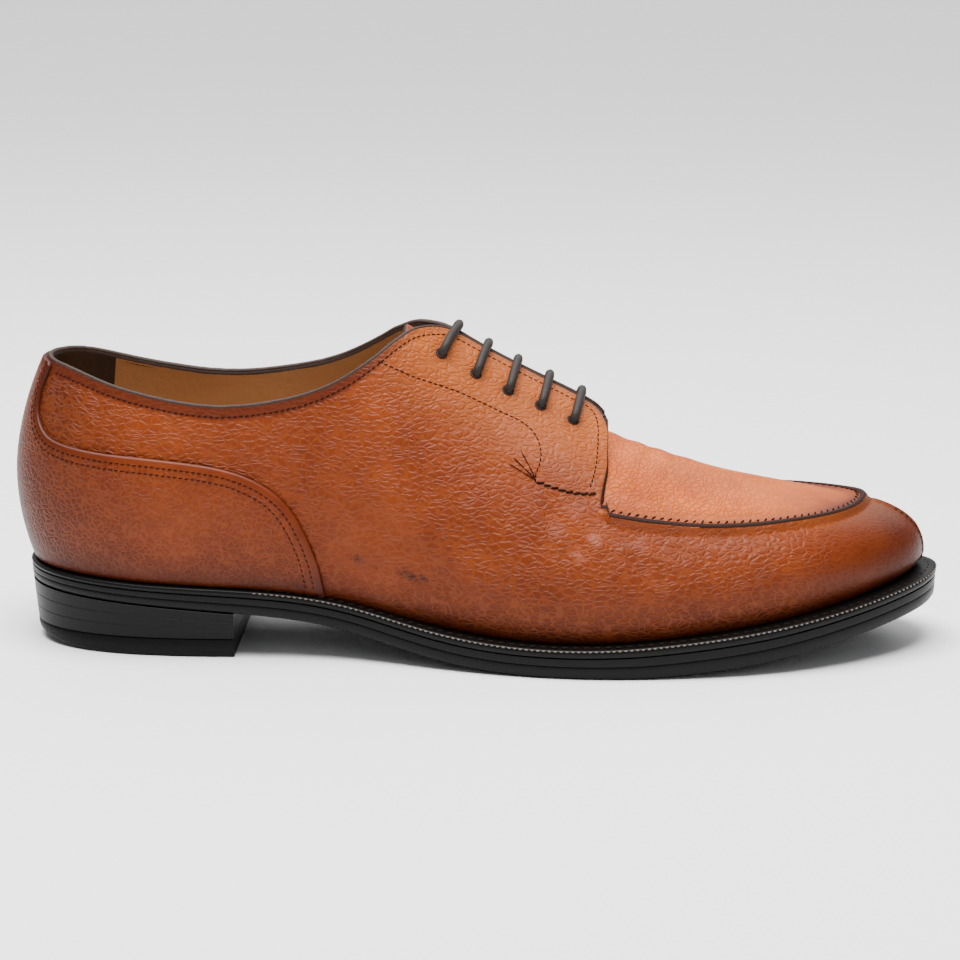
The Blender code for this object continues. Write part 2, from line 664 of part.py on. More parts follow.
def build_laces(finish):
    """Five straight bars, each from an eyelet over both facings into the one opposite."""
    over = GAP + LACE_RADIUS + 0.25
    for number, (ridge_x, eyelet_x) in enumerate(LACE_ROWS, 1):
        route = []
        for outer_side in (True, False):
            run = []
            for half, height in ((LACE_REACH, -1.4), (LACE_REACH - 0.1, 0.6), (LACE_REACH - 0.9, over + 0.3),
                                 (LACE_REACH - 2.8, over + 0.5), (9.0, over + 0.2), (6.0, over), (3.5, over)):
                x = ridge_x + (eyelet_x - ridge_x) * half / LACE_REACH
                run.append(facing_point(x, half, outer_side, height)[0])
            route += run if outer_side else run[::-1]
        curve = bpy.data.curves.new(f"lace_bar_{number}", "CURVE")
        curve.dimensions = "3D"
        curve.bevel_depth = LACE_RADIUS * MM
        curve.bevel_resolution = 2
        curve.use_fill_caps = True
        line = curve.splines.new("POLY")
        line.points.add(len(route) - 1)
        for spot, point in zip(line.points, route):
            spot.co = (*world(point), 1.0)
        curve.materials.append(finish)
        bpy.context.scene.collection.objects.link(bpy.data.objects.new(f"lace_bar_{number}", curve))


def clear():
    for item in list(bpy.data.objects):
        bpy.data.objects.remove(item, do_unlink=True)


def main():
    clear()
    tan = material("upper_leather", (0.46, 0.14, 0.035), 0.42)
    lining = material("lining_leather", (0.55, 0.34, 0.15), 0.6)
    build_sole()
    cord = material("lace_cord", (0.05, 0.032, 0.024), 0.7)
    cut_eyelets(build_upper(tan))
    build_counter(tan)
    build_laces(cord)
    build_tongue(tan)
    build_insole(lining)


main()
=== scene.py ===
import bpy
import bmesh
import numpy as np
from math import pi
from mathutils import Matrix, Vector
from mathutils.geometry import delaunay_2d_cdt


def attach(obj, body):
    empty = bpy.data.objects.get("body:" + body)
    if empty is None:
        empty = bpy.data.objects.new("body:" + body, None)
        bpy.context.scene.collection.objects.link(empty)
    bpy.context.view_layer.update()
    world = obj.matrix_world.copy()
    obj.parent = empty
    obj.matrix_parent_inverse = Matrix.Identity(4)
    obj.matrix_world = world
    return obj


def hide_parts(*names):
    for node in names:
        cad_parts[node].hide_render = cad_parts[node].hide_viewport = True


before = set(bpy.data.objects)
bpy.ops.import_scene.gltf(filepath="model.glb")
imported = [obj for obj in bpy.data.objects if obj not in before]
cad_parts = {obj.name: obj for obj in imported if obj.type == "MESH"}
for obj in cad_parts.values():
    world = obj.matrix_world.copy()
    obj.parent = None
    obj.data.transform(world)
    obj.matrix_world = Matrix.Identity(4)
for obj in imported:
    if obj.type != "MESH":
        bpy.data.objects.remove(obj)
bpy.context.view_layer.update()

# Sizes are millimetres from the back of the sole, as in the part's source.
# toWorld moves them to the row frame.
mm = 0.001
origin = np.array([151.0, -1.4, 0.0])
soleLength = 306.0
tipY = 6.0
wall = 2.2
gap = 0.3
lowShare = 0.2
# millimetres that one unit of v and one radian at the toe's tip stand for, about
shareSize = 95
tipSize = 62.0

# x, half width outer and inner
planTable = (
    (5, 16.5, 16.5), (18, 27.5, 27.5), (40, 34.0, 33.5), (72, 35.0, 32.5), (108, 36.0, 30.0),
    (145, 46.5, 36.0), (185, 54.0, 47.5), (218, 52.0, 51.5), (248, 45.5, 48.0),
    (272, 35.0, 41.0), (291, 21.5, 31.0), (302, 8.5, 19.5))
# x, rim height, bottom height
soleTable = (
    (0, 27.0, 20.2), (40, 24.6, 17.4), (72, 23.2, 15.0), (108, 19.2, 10.2), (135, 13.4, 3.8),
    (160, 10.3, 0.6), (185, 9.8, 0.0), (204, 10.6, 0.0), (218, 11.8, 0.8), (248, 15.2, 4.2),
    (276, 19.8, 9.4), (306, 25.6, 15.6))
# x, ridge height, ridge y, side bulge, welt shown outer and inner, tuck, fullness of side and top
sectionTable = (
    (0, 124, 0, 29, -2.6, -2.6, 5.5, 0.42, 0.30),
    (20, 124, 0, 24, -0.6, -0.6, 4.5, 0.42, 0.36),
    (40, 124, 0, 21, 0.6, 0.6, 3.5, 0.42, 0.44),
    (70, 124, 0, 20, 1.0, 1.5, 3.0, 0.42, 0.52),
    (105, 127, 0, 18, 1.5, 1.0, 3.0, 0.42, 0.50),
    (120, 123, 0, 16.5, 2.2, 1.0, 3.0, 0.42, 0.44),
    (130, 116.5, 1, 15, 3.0, 1.5, 3.0, 0.42, 0.40),
    (140, 108.5, 1.5, 14, 3.8, 2.2, 3.0, 0.42, 0.36),
    (150, 101.8, 2, 13, 4.5, 3.0, 3.0, 0.42, 0.32),
    (175, 87.4, 3, 11.5, 5.0, 4.5, 2.5, 0.44, 0.24),
    (194, 77.5, 3, 11, 5.0, 5.0, 2.5, 0.45, 0.20))
# x, ridge height, fullness of top
vampTable = (
    (120, 107, 0.36), (150, 93.5, 0.38), (175, 79.5, 0.44), (194, 70.0, 0.50), (213, 63.2, 0.54),
    (230, 57.6, 0.58), (245, 54.2, 0.60), (260, 51.4, 0.62), (275, 49.2, 0.64))
# x, height outer and inner
toplineTable = (
    (8, 95.2, 95.2), (16, 93.8, 94.0), (29, 89.7, 90.5), (45, 85.7, 87.0), (66, 83.0, 85.0),
    (86, 84.8, 87.2), (107, 91.8, 93.0), (121, 101.0, 101.0))
toplineEnd = 121.0
# x, half width of the throat, outer and inner
throatTable = (
    (121, 20.3, 16.4), (125, 18.0, 14.4), (130, 14.2, 11.4), (136, 9.6, 8.2), (142, 5.4, 5.0),
    (148, 4.0, 4.0), (165, 3.4, 3.4), (183, 3.6, 3.6), (188.5, 4.2, 4.2), (191, 5.6, 5.6),
    (193, 9.0, 9.0), (193.9, 12.0, 12.0))
sideEnd = 194.0
throatFront = 193.9
apron = {"back": 185.0, "front": 280.5, "outer": 39.5, "inner": 34.0}


def spline(rows, column, x):
    xs = np.array([row[0] for row in rows], float)
    ys = np.array([row[column] for row in rows], float)
    n = len(xs)
    h = np.diff(xs)
    slope = np.diff(ys) / h
    a, b = np.eye(n), np.zeros(n)
    for i in range(1, n - 1):
        a[i, i - 1:i + 2] = h[i - 1], 2 * (h[i - 1] + h[i]), h[i]
        b[i] = 6 * (slope[i] - slope[i - 1])
    m = np.linalg.solve(a, b)
    x = np.asarray(x, float)
    inside = np.clip(x, xs[0], xs[-1])
    k = np.clip(np.searchsorted(xs, inside) - 1, 0, n - 2)
    left, right = inside - xs[k], xs[k + 1] - inside
    y = ((m[k] * right ** 3 + m[k + 1] * left ** 3) / (6 * h[k])
         + (ys[k] / h[k] - m[k] * h[k] / 6) * right + (ys[k + 1] / h[k] - m[k + 1] * h[k] / 6) * left)
    first = slope[0] - h[0] * m[1] / 6
    last = slope[-1] + h[-1] * m[-2] / 6
    return y + np.where(x < xs[0], first * (x - xs[0]), 0) + np.where(x > xs[-1], last * (x - xs[-1]), 0)


def smoothStep(a, b, x):
    u = np.clip((np.asarray(x, float) - a) / (b - a), 0, 1)
    return u * u * (3 - 2 * u)


def along(x):
    return np.arccos(1 - 2 * np.asarray(x, float) / soleLength)


def sideTurn(x, outer):
    return along(x) if outer else 2 * pi - along(x)


def unit(rows):
    return rows / np.linalg.norm(rows, axis=-1, keepdims=True)


def runLength(steps):
    return np.concatenate([[0], np.cumsum(steps)])


def closedPlan():
    rows = [(0.0, 0.0)]
    rows += [(float(along(x)), -outer) for x, outer, inner in planTable]
    rows += [(pi, tipY)]
    rows += [(2 * pi - float(along(x)), inner) for x, outer, inner in reversed(planTable)]
    return [(t - 2 * pi, y) for t, y in rows[-4:]] + rows + [(t + 2 * pi, y) for t, y in rows[:4]]


planLoop = closedPlan()


def plan(turn, inset=0.0):
    turn = np.asarray(turn, float)

    def at(t):
        wrapped = np.mod(t, 2 * pi)
        return soleLength / 2 * (1 - np.cos(wrapped)), spline(planLoop, 1, wrapped)

    x, y = at(turn)
    xa, ya = at(turn - 1e-3)
    xb, yb = at(turn + 1e-3)
    dx, dy = xb - xa, yb - ya
    size = np.hypot(dx, dy)
    return x - dy / size * inset, y + dx / size * inset


def rimTop(x):
    return spline(soleTable, 1, x)


def soleBottom(x):
    return np.maximum(spline(soleTable, 2, x), 0.0)


def weltBottom(x):
    return rimTop(x) - 0.27 * (rimTop(x) - soleBottom(x))


def midsoleBottom(x):
    return weltBottom(x) - 0.30 * (rimTop(x) - soleBottom(x))


def above(level, rise):
    return lambda x: level(x) + rise


def outerShare(turn):
    return 0.5 + 0.5 * np.clip(1.6 * np.sin(turn), -1, 1)


def section(column, x):
    return spline(sectionTable, column, np.minimum(x, sideEnd))


def ridgeY(x):
    return 3.0 + 2.0 * smoothStep(200, 290, x)


def skin(turn, v, quarter):
    turn, v = np.broadcast_arrays(np.asarray(turn, float), np.asarray(v, float))
    px, _ = plan(turn)
    share = outerShare(turn)
    shown = section(4, px) * share + section(5, px) * (1 - share)
    gx, gy = plan(turn, shown)
    fx, fy = plan(turn, shown + section(6, px))
    rise = np.where(px < sideEnd, section(3, px), 11.0 - 6.3 * smoothStep(255, soleLength, px))
    fz = rimTop(px) + gap
    gz = fz + rise
    rx = px + 35.0 * np.clip(1 - px / 60, 0, 1) ** 2 - 34.0 * np.clip((px - 215) / 91, 0, 1) ** 2
    if quarter:
        rz, ry = spline(sectionTable, 1, rx), spline(sectionTable, 2, rx)
        topFull, sideFull = section(8, rx), section(7, rx)
        slope = (spline(sectionTable, 1, rx + 0.1) - spline(sectionTable, 1, rx - 0.1)) / 0.2
    else:
        rz, ry = spline(vampTable, 1, rx), ridgeY(rx)
        topFull, sideFull = spline(vampTable, 2, rx), 0.45 + 0.1 * smoothStep(200, 290, px)
        slope = (spline(vampTable, 1, rx + 0.1) - spline(vampTable, 1, rx - 0.1)) / 0.2
    dx, dy = gx - rx, gy - ry
    up = np.clip((v - lowShare) / (1 - lowShare), 0, 1)
    low = np.clip(v / lowShare, 0, 1)
    a0, a1, a2, a3 = (1 - up) ** 3, 3 * up * (1 - up) ** 2, 3 * up ** 2 * (1 - up), up ** 3
    xUp = gx * (a0 + a1) + (rx + dx * topFull) * a2 + rx * a3
    yUp = gy * (a0 + a1) + (ry + dy * topFull) * a2 + ry * a3
    zUp = gz * a0 + (gz + sideFull * (rz - gz)) * a1 + (rz + slope * dx * topFull) * a2 + rz * a3
    b0, b1, b2, b3 = (1 - low) ** 3, 3 * low * (1 - low) ** 2, 3 * low ** 2 * (1 - low), low ** 3
    xLow = fx * b0 + (fx + 0.45 * (gx - fx)) * b1 + gx * (b2 + b3)
    yLow = fy * b0 + (fy + 0.45 * (gy - fy)) * b1 + gy * (b2 + b3)
    zLow = fz * b0 + (fz + 0.22 * rise) * b1 + (gz - 0.42 * rise) * b2 + gz * b3
    high = v >= lowShare
    return np.stack([np.where(high, xUp, xLow), np.where(high, yUp, yLow), np.where(high, zUp, zLow)], -1)


def normals(turn, v, quarter):
    v = np.minimum(np.asarray(v, float), 0.99)
    alongTurn = skin(turn + 2e-4, v, quarter) - skin(turn - 2e-4, v, quarter)
    alongV = skin(turn, v + 2e-4, quarter) - skin(turn, v - 2e-4, quarter)
    return unit(np.cross(alongTurn, alongV))


def surfaceNormal(turn, v, quarter):
    turn, v = np.broadcast_arrays(np.asarray(turn, float), np.asarray(v, float))
    share = np.broadcast_to(np.asarray(quarter, float), turn.shape)[..., None]
    n = normals(turn, v, False) * (1 - share) + normals(turn, v, True) * share
    level = np.clip(v / 0.04, 0, 1)[..., None]
    flat = n * np.array([1, 1, 0])
    flat = flat / (np.linalg.norm(flat, axis=-1, keepdims=True) + 1e-9)
    return unit(n * level + flat * (1 - level))


def surface(turn, v, quarter, offset=0.0):
    turn, v = np.broadcast_arrays(np.asarray(turn, float), np.asarray(v, float))
    share = np.broadcast_to(np.asarray(quarter, float), turn.shape)[..., None]
    flesh = skin(turn, v, False) * (1 - share) + skin(turn, v, True) * share
    n = surfaceNormal(turn, v, quarter)
    return flesh + n * np.broadcast_to(np.asarray(offset, float), turn.shape)[..., None]


def firstShare(test, low=0.25):
    shares = np.linspace(low, 0.9995, 500)
    hit = test.argmax(axis=1)
    return shares[hit]


def ladder(turn, quarter, low=0.25):
    return skin(np.atleast_1d(turn)[:, None], np.linspace(low, 0.9995, 500)[None, :], quarter)


def smoothed(values, passes=3):
    for _ in range(passes):
        inner = 0.25 * values[:-2] + 0.5 * values[1:-1] + 0.25 * values[2:]
        values = np.concatenate([values[:1], inner, values[-1:]])
    return values


def apronEdge(turn):
    points = ladder(turn, False)
    u = np.clip((points[..., 0] - apron["back"]) / (apron["front"] - apron["back"]), 0, 1)
    wide = np.where(points[..., 1] < ridgeY(points[..., 0]), apron["outer"], apron["inner"])
    return firstShare(np.abs(points[..., 1] - ridgeY(points[..., 0])) < wide * (1 - u ** 2.6) ** 0.53)


def topEdge(turn):
    points = ladder(turn, True)
    x, y, z = points[..., 0], points[..., 1], points[..., 2]
    height = np.where(y < 0, spline(toplineTable, 1, x), spline(toplineTable, 2, x))
    middle = spline(sectionTable, 2, x)
    ahead = np.clip(x, toplineEnd, throatFront)
    reach = np.where(y < middle, spline(throatTable, 1, ahead), spline(throatTable, 2, ahead))
    return firstShare(np.where(x < toplineEnd, z > height, np.abs(y - middle) < reach))


def toWorld(points):
    return (np.asarray(points, float) - origin) * mm


def noise(points, size, seed=0):
    # a smooth, repeatable wobble from a few slanted waves
    rng = np.random.default_rng(seed)
    total = 0
    for _ in range(5):
        direction = rng.normal(size=3)
        direction = direction / np.linalg.norm(direction) / size * rng.uniform(0.7, 1.5)
        total = total + np.sin(points @ direction * 2 * pi + rng.uniform(0, 2 * pi))
    return total / 5


# materials


def nodesOf(name):
    made = bpy.data.materials.new(name)
    made.use_nodes = True
    return made, made.node_tree.nodes, made.node_tree.links, made.node_tree.nodes["Principled BSDF"]


def setValues(node, **values):
    for key, value in values.items():
        node.inputs[key].default_value = value
    return node


def addNode(nodes, kind, **values):
    return setValues(nodes.new("ShaderNode" + kind), **values)


def feed(links, value, socket):
    if isinstance(value, tuple):
        socket.default_value = (*value, 1)
    elif isinstance(value, float):
        socket.default_value = value
    else:
        links.new(value, socket)


def mix(nodes, links, factor, first, second):
    made = addNode(nodes, "Mix")
    made.data_type = "RGBA"
    for socket, value in ((0, factor), (6, first), (7, second)):
        feed(links, value, made.inputs[socket])
    return made.outputs[2]


def multiply(nodes, links, first, second):
    made = addNode(nodes, "Math")
    made.operation = "MULTIPLY"
    for socket, value in ((0, first), (1, second)):
        feed(links, value, made.inputs[socket])
    return made.outputs[0]


def bumpOf(nodes, links, height, strength, distance, under=None):
    made = addNode(nodes, "Bump", Strength=strength, Distance=distance)
    links.new(height, made.inputs["Height"])
    if under:
        links.new(under, made.inputs["Normal"])
    return made.outputs["Normal"]


def noiseOf(nodes, links, coords, **values):
    made = addNode(nodes, "TexNoise", **values)
    links.new(coords, made.inputs["Vector"])
    return made


def marked(nodes, key):
    made = addNode(nodes, "Attribute")
    made.attribute_name = key
    return made.outputs["Fac"]


def ramp(nodes, links, value, stops):
    made = addNode(nodes, "ValToRGB")
    line = made.color_ramp
    while len(line.elements) > 1:
        line.elements.remove(line.elements[-1])
    line.elements[0].position = stops[0][0]
    line.elements[0].color = (*stops[0][1], 1)
    for position, colour in stops[1:]:
        line.elements.new(position).color = (*colour, 1)
    links.new(value, made.inputs["Fac"])
    return made.outputs["Color"]


def plain(name, colour, roughness, coat=0.0, bump=0.0, scale=600.0, shine=0.35):
    made, nodes, links, shader = nodesOf(name)
    setValues(shader, **{
        "Base Color": (*colour, 1), "Roughness": roughness, "Specular IOR Level": shine,
        "Coat Weight": coat, "Coat Roughness": 0.3})
    if bump:
        coords = addNode(nodes, "TexCoord").outputs["Object"]
        texture = noiseOf(nodes, links, coords, Scale=scale, Detail=4)
        links.new(bumpOf(nodes, links, texture.outputs["Fac"], bump, 0.0003), shader.inputs["Normal"])
    return made


# the side panels, counter and tongue take these darker tones and the apron the lighter copy below: one
# leather in two tones, painted light on the toe's top and painted shade on the sides
sideLeather = {
    "light": (0.200, 0.033, 0.0030), "mid": (0.118, 0.0155, 0.0012), "dark": (0.026, 0.0032, 0.0008),
    # the pale pinkish tone mixed onto the upper quarter is a painted highlight where the light from above
    # falls
    "line": (0.220, 0.048, 0.0080), "margin": (0.052, 0.0070, 0.0020), "paintedHighlight": (0.40, 0.098, 0.016),
    "lineAmount": 0.34, "cell": 540.0, "valley": 0.18, "pebble": 0.26}
# the apron's copy of the leather, lighter and more orange: painted light where the light from above falls on
# the toe's top
litTopLeather = {
    "light": (0.58, 0.130, 0.015), "mid": (0.38, 0.062, 0.005), "line": (0.19, 0.024, 0.003),
    "lineAmount": 0.5}


def leatherFinish(name, stretch=(1.0, 1.0, 1.0), colours=None):
    leather = {**sideLeather, **(colours or {})}
    made, nodes, links, shader = nodesOf(name)
    coords = addNode(nodes, "TexCoord").outputs["Object"]
    warp = noiseOf(nodes, links, coords, Scale=170, Detail=1.5)
    bend = addNode(nodes, "VectorMath")
    bend.operation = "MULTIPLY_ADD"
    bend.inputs[1].default_value = (0.0042, 0.0042, 0.0042)
    links.new(warp.outputs["Color"], bend.inputs[0])
    links.new(coords, bend.inputs[2])
    shape = addNode(nodes, "Mapping", Scale=stretch, Rotation=(0.0, 0.35, 0.0))
    links.new(bend.outputs["Vector"], shape.inputs["Vector"])
    # pebbles
    edges = addNode(nodes, "TexVoronoi")
    edges.feature = "DISTANCE_TO_EDGE"
    setValues(edges, Scale=leather["cell"], Randomness=0.85)
    links.new(shape.outputs["Vector"], edges.inputs["Vector"])
    fine = noiseOf(nodes, links, coords, Scale=2200, Detail=3)
    patches = noiseOf(nodes, links, coords, Scale=46, Detail=5, Roughness=0.62)
    grain = marked(nodes, "grain")
    # colour
    colour = ramp(nodes, links, patches.outputs["Fac"], ((0.30, leather["mid"]), (0.70, leather["light"])))
    # mixes in the painted highlight of the upper quarter
    colour = mix(nodes, links, marked(nodes, "paintedHighlight"), colour, leather["paintedHighlight"])
    # darkens by a mark that holds the leather's own burnish and scuffs and also painted shade
    colour = mix(nodes, links, marked(nodes, "burnishAndShade"), colour, leather["dark"])
    colour = mix(nodes, links, marked(nodes, "margin"), colour, leather["margin"])
    # the grain's valleys are coloured lighter on the side leather and darker on the apron's: painted
    # highlight and painted shade in the pebbles' valleys, over the real relief below
    valley = ramp(nodes, links, edges.outputs["Distance"], ((0.0, (1, 1, 1)), (leather["valley"], (0, 0, 0))))
    paintedValleyShading = multiply(nodes, links, multiply(nodes, links, valley, grain), leather["lineAmount"])
    links.new(mix(nodes, links, paintedValleyShading, colour, leather["line"]), shader.inputs["Base Color"])
    setValues(shader, **{
        "Roughness": 0.46, "Specular IOR Level": 0.15, "Coat Weight": 0.05, "Coat Roughness": 0.26})
    # relief
    height = addNode(nodes, "MapRange", **{"From Max": leather["pebble"]})
    height.interpolation_type = "SMOOTHERSTEP"
    links.new(edges.outputs["Distance"], height.inputs["Value"])
    pebble = multiply(nodes, links, height.outputs["Result"], grain)
    lift = bumpOf(nodes, links, pebble, 0.75, 0.00030)
    tooth = bumpOf(nodes, links, fine.outputs["Fac"], 0.18, 0.0002, lift)
    links.new(tooth, shader.inputs["Normal"])
    return made


tan = leatherFinish("tanGrain")
# the lighter apron finish, a painted-light copy of the side finish
tanTopLit = leatherFinish("tanTopLitGrain", (1.0, 1.0, 1.0), litTopLeather)
tanLong = leatherFinish("tanLongGrain", (0.55, 1.0, 1.10))
rawEdge = plain("rawEdge", (0.030, 0.015, 0.010), 0.6, 0.0, 0.5, 1500, 0.22)
cutEdge = plain("cutEdge", (0.018, 0.0055, 0.003), 0.6, 0.0, 0.6, 900, 0.12)
lining = plain("lining", (0.42, 0.21, 0.085), 0.55, 0.0, 0.5, 500)
darkLining = plain("darkLining", (0.030, 0.017, 0.011), 0.6, 0.05, 0.5, 500)
threadDark = plain("threadDark", (0.016, 0.0042, 0.0022), 0.7, shine=0.05)
threadBlack = plain("threadBlack", (0.010, 0.005, 0.003), 0.7, shine=0.05)
fudge = plain("fudge", (0.11, 0.085, 0.068), 0.55)
black = plain("edgeBlack", (0.0022, 0.0019, 0.0018), 0.42, 0.02, 0.25, 260, 0.12)
rubber = plain("topPieceRubber", (0.0022, 0.0021, 0.0020), 0.5, 0.0, 0.4, 700, 0.12)
# near-black finish of the discs that stand for the lace holes: painted shade
paintedHoleShade = plain("paintedHoleShade", (0.008, 0.005, 0.004), 0.9)
print("materials made")


# mesh helpers


def makeMesh(name, points, faces, finishes, choice=None, marks=None, weld=0.0, sharp=None):
    mesh = bpy.data.meshes.new(name)
    mesh.from_pydata(toWorld(points).tolist(), [], faces)
    for finish in finishes:
        mesh.materials.append(finish)
    if choice is not None:
        mesh.polygons.foreach_set("material_index", np.asarray(choice, np.int32))
    for key, values in (marks or {}).items():
        layer = mesh.attributes.new(key, "FLOAT", "POINT")
        layer.data.foreach_set("value", np.asarray(values, np.float32))
    mesh.polygons.foreach_set("use_smooth", [True] * len(mesh.polygons))
    if weld:
        made = bmesh.new()
        made.from_mesh(mesh)
        bmesh.ops.remove_doubles(made, verts=made.verts, dist=weld)
        made.to_mesh(mesh)
        made.free()
    if sharp:
        mesh.set_sharp_from_angle(angle=sharp)
    mesh.update()
    made = bpy.data.objects.new(name, mesh)
    bpy.context.scene.collection.objects.link(made)
    return made


def gridFaces(columns, rows, wrap=False, flip=False):
    i = np.arange(columns if wrap else columns - 1)[:, None]
    j = np.arange(rows - 1)[None, :]
    a = i * rows + j
    b = (i + 1) % columns * rows + j
    quads = np.stack([a, b, b + 1, a + 1], -1).reshape(-1, 4)
    return (quads[:, ::-1] if flip else quads).tolist()


def tubeFaces(columns, rows, wrap=False):
    # a grid that closes round its rows, and with wrap along its columns too
    i = np.arange(columns if wrap else columns - 1)[:, None]
    j = np.arange(rows)[None, :]
    k, m = (i + 1) % columns, (j + 1) % rows
    return np.stack([i * rows + j, k * rows + j, k * rows + m, i * rows + m], -1).reshape(-1, 4)


def place(obj, slotName, *nodes):
    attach(obj, "root")
    if nodes:
        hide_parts(*nodes)


def perShare(turn, v, quarter):
    # millimetres to one unit of v
    step = skin(turn, v + 1e-3, quarter) - skin(turn, v - 1e-3, quarter)
    return np.linalg.norm(step, axis=-1) / 2e-3


# leather shape: creases listed one by one

# place, v, place, v, depth, width; a little shallower on the inner side
creases = (
    (176.0, 0.47, 186.0, 0.40, 0.75, 2.6), (181.0, 0.36, 188.5, 0.46, 0.55, 2.2),
    (190.0, 0.50, 203.0, 0.47, 0.50, 2.4), (197.0, 0.42, 212.0, 0.36, 0.40, 3.0),
    (206.0, 0.53, 219.0, 0.45, 0.35, 3.0), (150.0, 0.33, 172.0, 0.25, 0.45, 4.2),
    (128.0, 0.42, 150.0, 0.36, 0.40, 4.6), (118.0, 0.30, 141.0, 0.21, 0.40, 4.4),
    (134.0, 0.52, 160.0, 0.50, 0.30, 4.0), (160.0, 0.42, 174.0, 0.30, 0.35, 3.6),
    (112.0, 0.45, 126.0, 0.40, 0.30, 4.2), (108.0, 0.20, 122.0, 0.12, 0.35, 3.8))
# creases across the apron where the foot bends: x at the middle, reach, bow, depth, width
flexCreases = (
    (201.0, 27.0, 3.0, 0.45, 2.6), (208.5, 30.0, 4.0, 0.55, 2.8), (217.0, 26.0, 4.0, 0.35, 3.2))
# place, v, reach along and across, depth of colour
scuffs = (
    (113.0, 0.190, 2.2, 0.9, 0.75), (119.0, 0.182, 1.0, 0.6, 0.5), (129.5, 0.200, 3.2, 1.1, 0.85),
    (134.0, 0.208, 1.5, 0.7, 0.6), (94.0, 0.050, 1.4, 0.6, 0.6), (171.5, 0.50, 2.5, 1.6, 0.25))


def bell(distance, width):
    return np.exp(-(distance / width) ** 2)


def creaseLift(turn, v, outer):
    px, _ = plan(turn)
    total = 0.05 * np.sin(px / 9.0 + 14 * v) * smoothStep(0.08, 0.3, v)
    for x0, v0, x1, v1, depth, width in creases:
        ax, ay, bx, by = x0, shareSize * v0, x1, shareSize * v1
        wobble = 1.4 * np.sin(px / 5.5 + 3 * v0 * 20)
        qx, qy = px - ax, shareSize * v + wobble - ay
        t = np.clip((qx * (bx - ax) + qy * (by - ay)) / ((bx - ax) ** 2 + (by - ay) ** 2), 0, 1)
        d = np.hypot(qx - t * (bx - ax), qy - t * (by - ay))
        weight = depth * np.where(outer, 0.6, 0.5)
        total = total - weight * bell(d, width) + 0.45 * weight * bell(d - 2.1 * width, width)
    return total


def apronLift(points):
    x, y = points[..., 0], points[..., 1]
    total = 0 * x
    for middle, reach, bow, depth, width in flexCreases:
        side = (y - ridgeY(x)) / reach
        d = x - (middle - bow * side ** 2 + 0.8 * np.sin(y / 6.0 + middle))
        fade = np.clip(1 - side ** 2, 0, 1) ** 0.5
        total = total - depth * fade * (bell(d, width) - 0.4 * bell(np.abs(d) - 2 * width, width))
    return total


# heel and toe burnish, blotches and scuffs are the leather's own; low makes the panel darker towards the
# welt; belly adds painted shade
def burnishAndShadeAt(px, v, points):
    heel = 0.55 * (1 - smoothStep(4, 46, px))
    toe = 0.62 * smoothStep(256, 303, px)
    low = 0.45 * (1 - smoothStep(0.02, 0.16, v)) + 0.22 * (1 - smoothStep(0.10, 0.55, v))
    blotch = 0.10 * noise(points, 34.0, 3) + 0.06 * noise(points, 12.0, 4)
    mark = 0
    for x0, v0, long, high, depth in scuffs:
        across = (v - v0 + 0.004 * np.sin(px * 2.1)) * shareSize / high
        mark = mark + depth * np.exp(-((px - x0) / long) ** 2 - across ** 2)
    # painted shade on the lower side ahead of the waist
    bellyShade = 0.24 * (1 - smoothStep(0.10, 0.50, v)) * smoothStep(110, 160, px)
    return np.clip(1 - (1 - heel) * (1 - toe) * (1 - low) * (1 - bellyShade) + 0.06 + blotch + mark, 0, 0.95)


def grainAt(px, v):
    return np.clip(1.0 - 0.75 * smoothStep(250, 285, px) - 0.6 * (1 - smoothStep(0.02, 0.12, v)), 0.12, 1)


# places of the laces

# x where a bar crosses the ridge, place of its two eyelets
laceRows = ((145.0, 139.0), (154.5, 150.3), (164.0, 161.0), (174.3, 171.7), (185.0, 182.4))
# from the eyelet to the ridge: distance from the middle, height over the facing
laceRise = (
    (15.0, -2.4), (15.0, -0.6), (14.8, 0.8), (14.0, 1.75), (12.0, 1.95), (9.0, 1.85), (6.0, 1.75),
    (3.5, 1.7))
eyelet = {
    "half": 15.0, "sides": 24,
    "rings": ((0.0, -0.15), (1.2, -0.05), (1.75, 0.10), (1.95, 0.12), (2.15, -0.05))}
lace = {"radius": 1.5}
facingStep = 1.2


def shareAt(turn, half):
    points = ladder(turn, True, 0.5)
    return firstShare(np.abs(points[..., 1] - spline(sectionTable, 2, points[..., 0])) < half, 0.5)


def facingPoint(x, half, outer, height):
    turn = sideTurn(np.atleast_1d(np.asarray(x, float)), outer)
    v = shareAt(turn, half)
    lift = facingStep * smoothStep(150, 186, x)
    n = surfaceNormal(turn, v, 1.0)
    return (skin(turn, v, True) + n * (lift + height))[0], n[0]


# side panels with the quarters and facings

sidePanel = {
    "columns": 460, "quarterColumns": 300, "lowRows": 74, "highRows": 62, "ridge": 1.55,
    "ridgeWidth": 3.4, "edgeThick": 1.9, "cutWidth": 1.25, "darkBelow": 0.95, "groove": 1.1,
    "grooveWidth": 1.9}


def seamShare(turns):
    # v of the apron seam; behind the facing's foot it runs on level
    px, _ = plan(turns)
    seam = apronEdge(turns)
    foot = sideTurn(194.5, turns.max() < pi + 0.01)
    front = apronEdge(np.array([float(foot)]))[0]
    blend = smoothStep(190.5, 194.5, px)
    behind = front + (0.42 - front) * (1 - smoothStep(118, 148, px))
    return behind * (1 - blend) + np.where(blend > 0, seam, front) * blend


def eyeletShade(points):
    total = 0
    for outer in (True, False):
        for _, x in laceRows:
            centre = facingPoint(x, eyelet["half"], outer, 0.0)[0]
            total = total + 0.5 * bell(np.linalg.norm(points - centre, axis=-1), 3.4)
    return total


